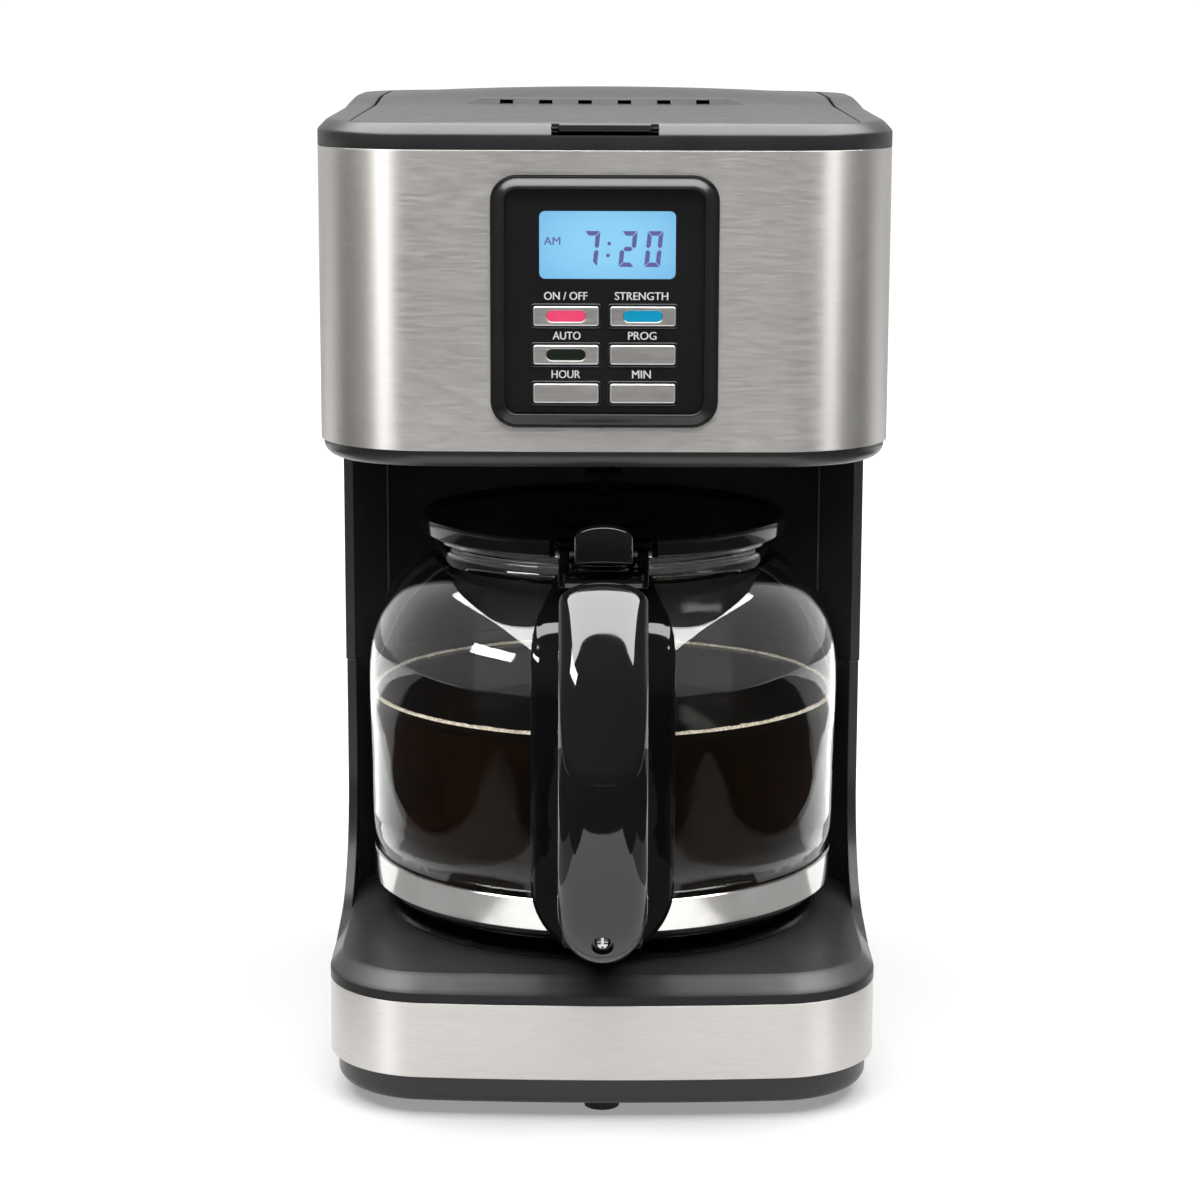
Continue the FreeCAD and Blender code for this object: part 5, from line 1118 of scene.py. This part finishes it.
floor = disc("floor", 3.2, 0.0)
floor.data.materials.append(emitter("floor_white", (1, 1, 1), 0.34, 0.27))
fm = floor.data.materials[0].node_tree
tc = node(fm, "ShaderNodeTexCoord")
ln = node(fm, "ShaderNodeVectorMath", operation="LENGTH")
fm.links.new(tc.outputs["Object"], ln.inputs[0])
fm.links.new(span(fm, ln.outputs["Value"], 0.26, 1.30, 0.30, 1.02), fm.nodes["Principled BSDF"].inputs["Emission Strength"])
seg = 96
ring = [(3.1 * math.cos(2 * math.pi * i / seg), 3.1 * math.sin(2 * math.pi * i / seg)) for i in range(seg)]
wall = make("backdrop", [(x, y, -0.1) for x, y in ring] + [(x, y, 3.5) for x, y in ring],
            [(i, (i + 1) % seg, seg + (i + 1) % seg, seg + i) for i in range(seg)], merge=0)
wall.data.materials.append(emitter("backdrop_white", (1, 1, 1), 1.05))
wall.visible_glossy = wall.visible_diffuse = wall.visible_shadow = False


def card(name, fields, power):
    """Card lying on the floor that only shows in reflections."""
    ob = make(name, [p for x0, x1, y0, y1 in fields for p in ((x0, y0, 0.002), (x1, y0, 0.002), (x1, y1, 0.002), (x0, y1, 0.002))],
              [tuple(range(4 * i, 4 * i + 4)) for i in range(len(fields))], merge=0)
    ob.data.materials.append(emitter(name + "_grey", (1, 1, 1), power))
    ob.visible_camera = ob.visible_diffuse = ob.visible_shadow = False
    return ob


flag = card("flag", [(-2.5, 2.5, -3.0, -0.53), (-2.5, -0.19, -0.53, -0.32), (0.19, 2.5, -0.53, -0.32)], 0.05)
sides = card("side_cards", [(-0.36, -0.21, -0.32, 0.10), (0.21, 0.36, -0.32, 0.10)], 0.42)
outer_cards = card("outer_cards", [(-2.5, -0.36, -0.32, 0.22), (0.36, 2.5, -0.32, 0.22)], 0.04)
soft_cards = card("soft_cards", [(-2.5, -0.36, 0.22, 0.42), (0.36, 2.5, 0.22, 0.42)], 0.40)
far_card = card("far_card", [(-2.5, 2.5, 0.95, 3.0)], 0.35)


def area(name, loc, target, sx, sy, radiance, colour=(1, 1, 1)):
    li = bpy.data.lights.new(name, "AREA")
    li.shape = "RECTANGLE"
    li.size, li.size_y = sx, sy
    li.energy = radiance * math.pi * sx * sy
    li.color = colour
    ob = bpy.data.objects.new(name, li)
    ob.location = loc
    ob.rotation_mode = "QUATERNION"
    ob.rotation_quaternion = (Vector(target) - Vector(loc)).to_track_quat("-Z", "Y")
    scene.collection.objects.link(ob)
    ob.visible_camera = False
    return ob


overhead = area("overhead", (0, -0.10, 1.25), (0, -0.10, 0.0), 2.4, 1.4, 10.0)
over_grip = area("overhead_grip", (0, -0.01, 1.25), (0, -0.01, 0.0), 2.4, 1.22, 10.0)
over_pot = area("overhead_pot", (0, -0.25, 1.25), (0, -0.25, 0.0), 2.1, 2.0, 10.0)
fill = area("fill", (0, -1.30, 0.55), (0, 0, 0.20), 0.8, 0.5, 5.0)
fill.visible_glossy = fill.visible_transmission = False
strips = [area("strip_left", (-0.97, -0.87, 0.40), (0, 0, 0.20), 0.36, 1.1, 3.0),
          area("strip_right", (0.97, -0.70, 0.40), (0, 0, 0.20), 0.30, 1.1, 1.85)]
small = area("softbox_left", (-0.90, -0.56, 0.64), (-0.038, -0.066, 0.155), 0.46, 0.15, 27.0)
small_grip = area("softbox_grip", (-0.90, -0.56, 0.90), (-0.010, -0.125, 0.158), 0.44, 0.20, 27.0)
steel_only = bpy.data.collections.new("steel_only")
for n in ("head_wrap", "base_band"):
    steel_only.objects.link(N[n])
for s in strips:
    s.light_linking.receiver_collection = steel_only


def lit(name, obs, *lights):
    """Lights that reach only the pieces named here."""
    c = bpy.data.collections.new(name)
    for ob in obs:
        c.objects.link(ob)
    for li in lights:
        li.light_linking.receiver_collection = c
    return c


cover = bpy.data.objects["grip_cover"]
lit("pot_and_guard", (N["carafe_glass"], bpy.data.objects["handle_frame"]), small)
lit("grip_only", (cover,), small_grip, over_grip)
lit("pot_only", (N["carafe_glass"],), over_pot)
lit("bay", (N["upper_housing"], N["lower_housing"], N["brew_basket"], N["drip_stop_plunger"], bpy.data.objects["pot_lid"]), fill)
rest = lit("not_grip_or_pot", (cover, N["carafe_glass"]), overhead)
for c in rest.collection_objects:
    c.light_linking.link_state = "EXCLUDE"

world = bpy.data.worlds.new("studio")
scene.world = world
world.use_nodes = True
nt = world.node_tree
bg = nt.nodes["Background"]
tc = node(nt, "ShaderNodeTexCoord")
sep = node(nt, "ShaderNodeSeparateXYZ")
nt.links.new(tc.outputs["Generated"], sep.inputs["Vector"])
back = node(nt, "ShaderNodeMapRange", interpolation_type="SMOOTHSTEP")
back.inputs["From Min"].default_value, back.inputs["From Max"].default_value = 0.30, 0.75
nt.links.new(sep.outputs["Y"], back.inputs["Value"])
front = node(nt, "ShaderNodeMapRange", interpolation_type="SMOOTHSTEP")
front.inputs["From Min"].default_value, front.inputs["From Max"].default_value = -0.05, 0.10
front.inputs["To Min"].default_value, front.inputs["To Max"].default_value = 0.05, 0.14
nt.links.new(sep.outputs["Z"], front.inputs["Value"])
mixw = node(nt, "ShaderNodeMix", data_type="FLOAT")
nt.links.new(back.outputs["Result"], mixw.inputs[0])
nt.links.new(front.outputs["Result"], mixw.inputs[2])
mixw.inputs[3].default_value = 0.60
nt.links.new(mixw.outputs[0], bg.inputs["Color"])
bg.inputs["Strength"].default_value = 1.0

# ------------------------------------------------------------------ camera
cam = bpy.data.cameras.new("camera")
cam.sensor_width = 36.0
cam.lens = 91.84
cam.clip_start, cam.clip_end = 0.01, 50.0
co = bpy.data.objects.new("camera", cam)
co.location = (-0.00148634, -1.08439234, 0.37217266)
co.rotation_mode = "XYZ"
co.rotation_euler = (math.radians(78.98569), math.radians(-0.176), math.radians(0.0152))
scene.collection.objects.link(co)
scene.camera = co
scene.view_settings.view_transform = "Standard"
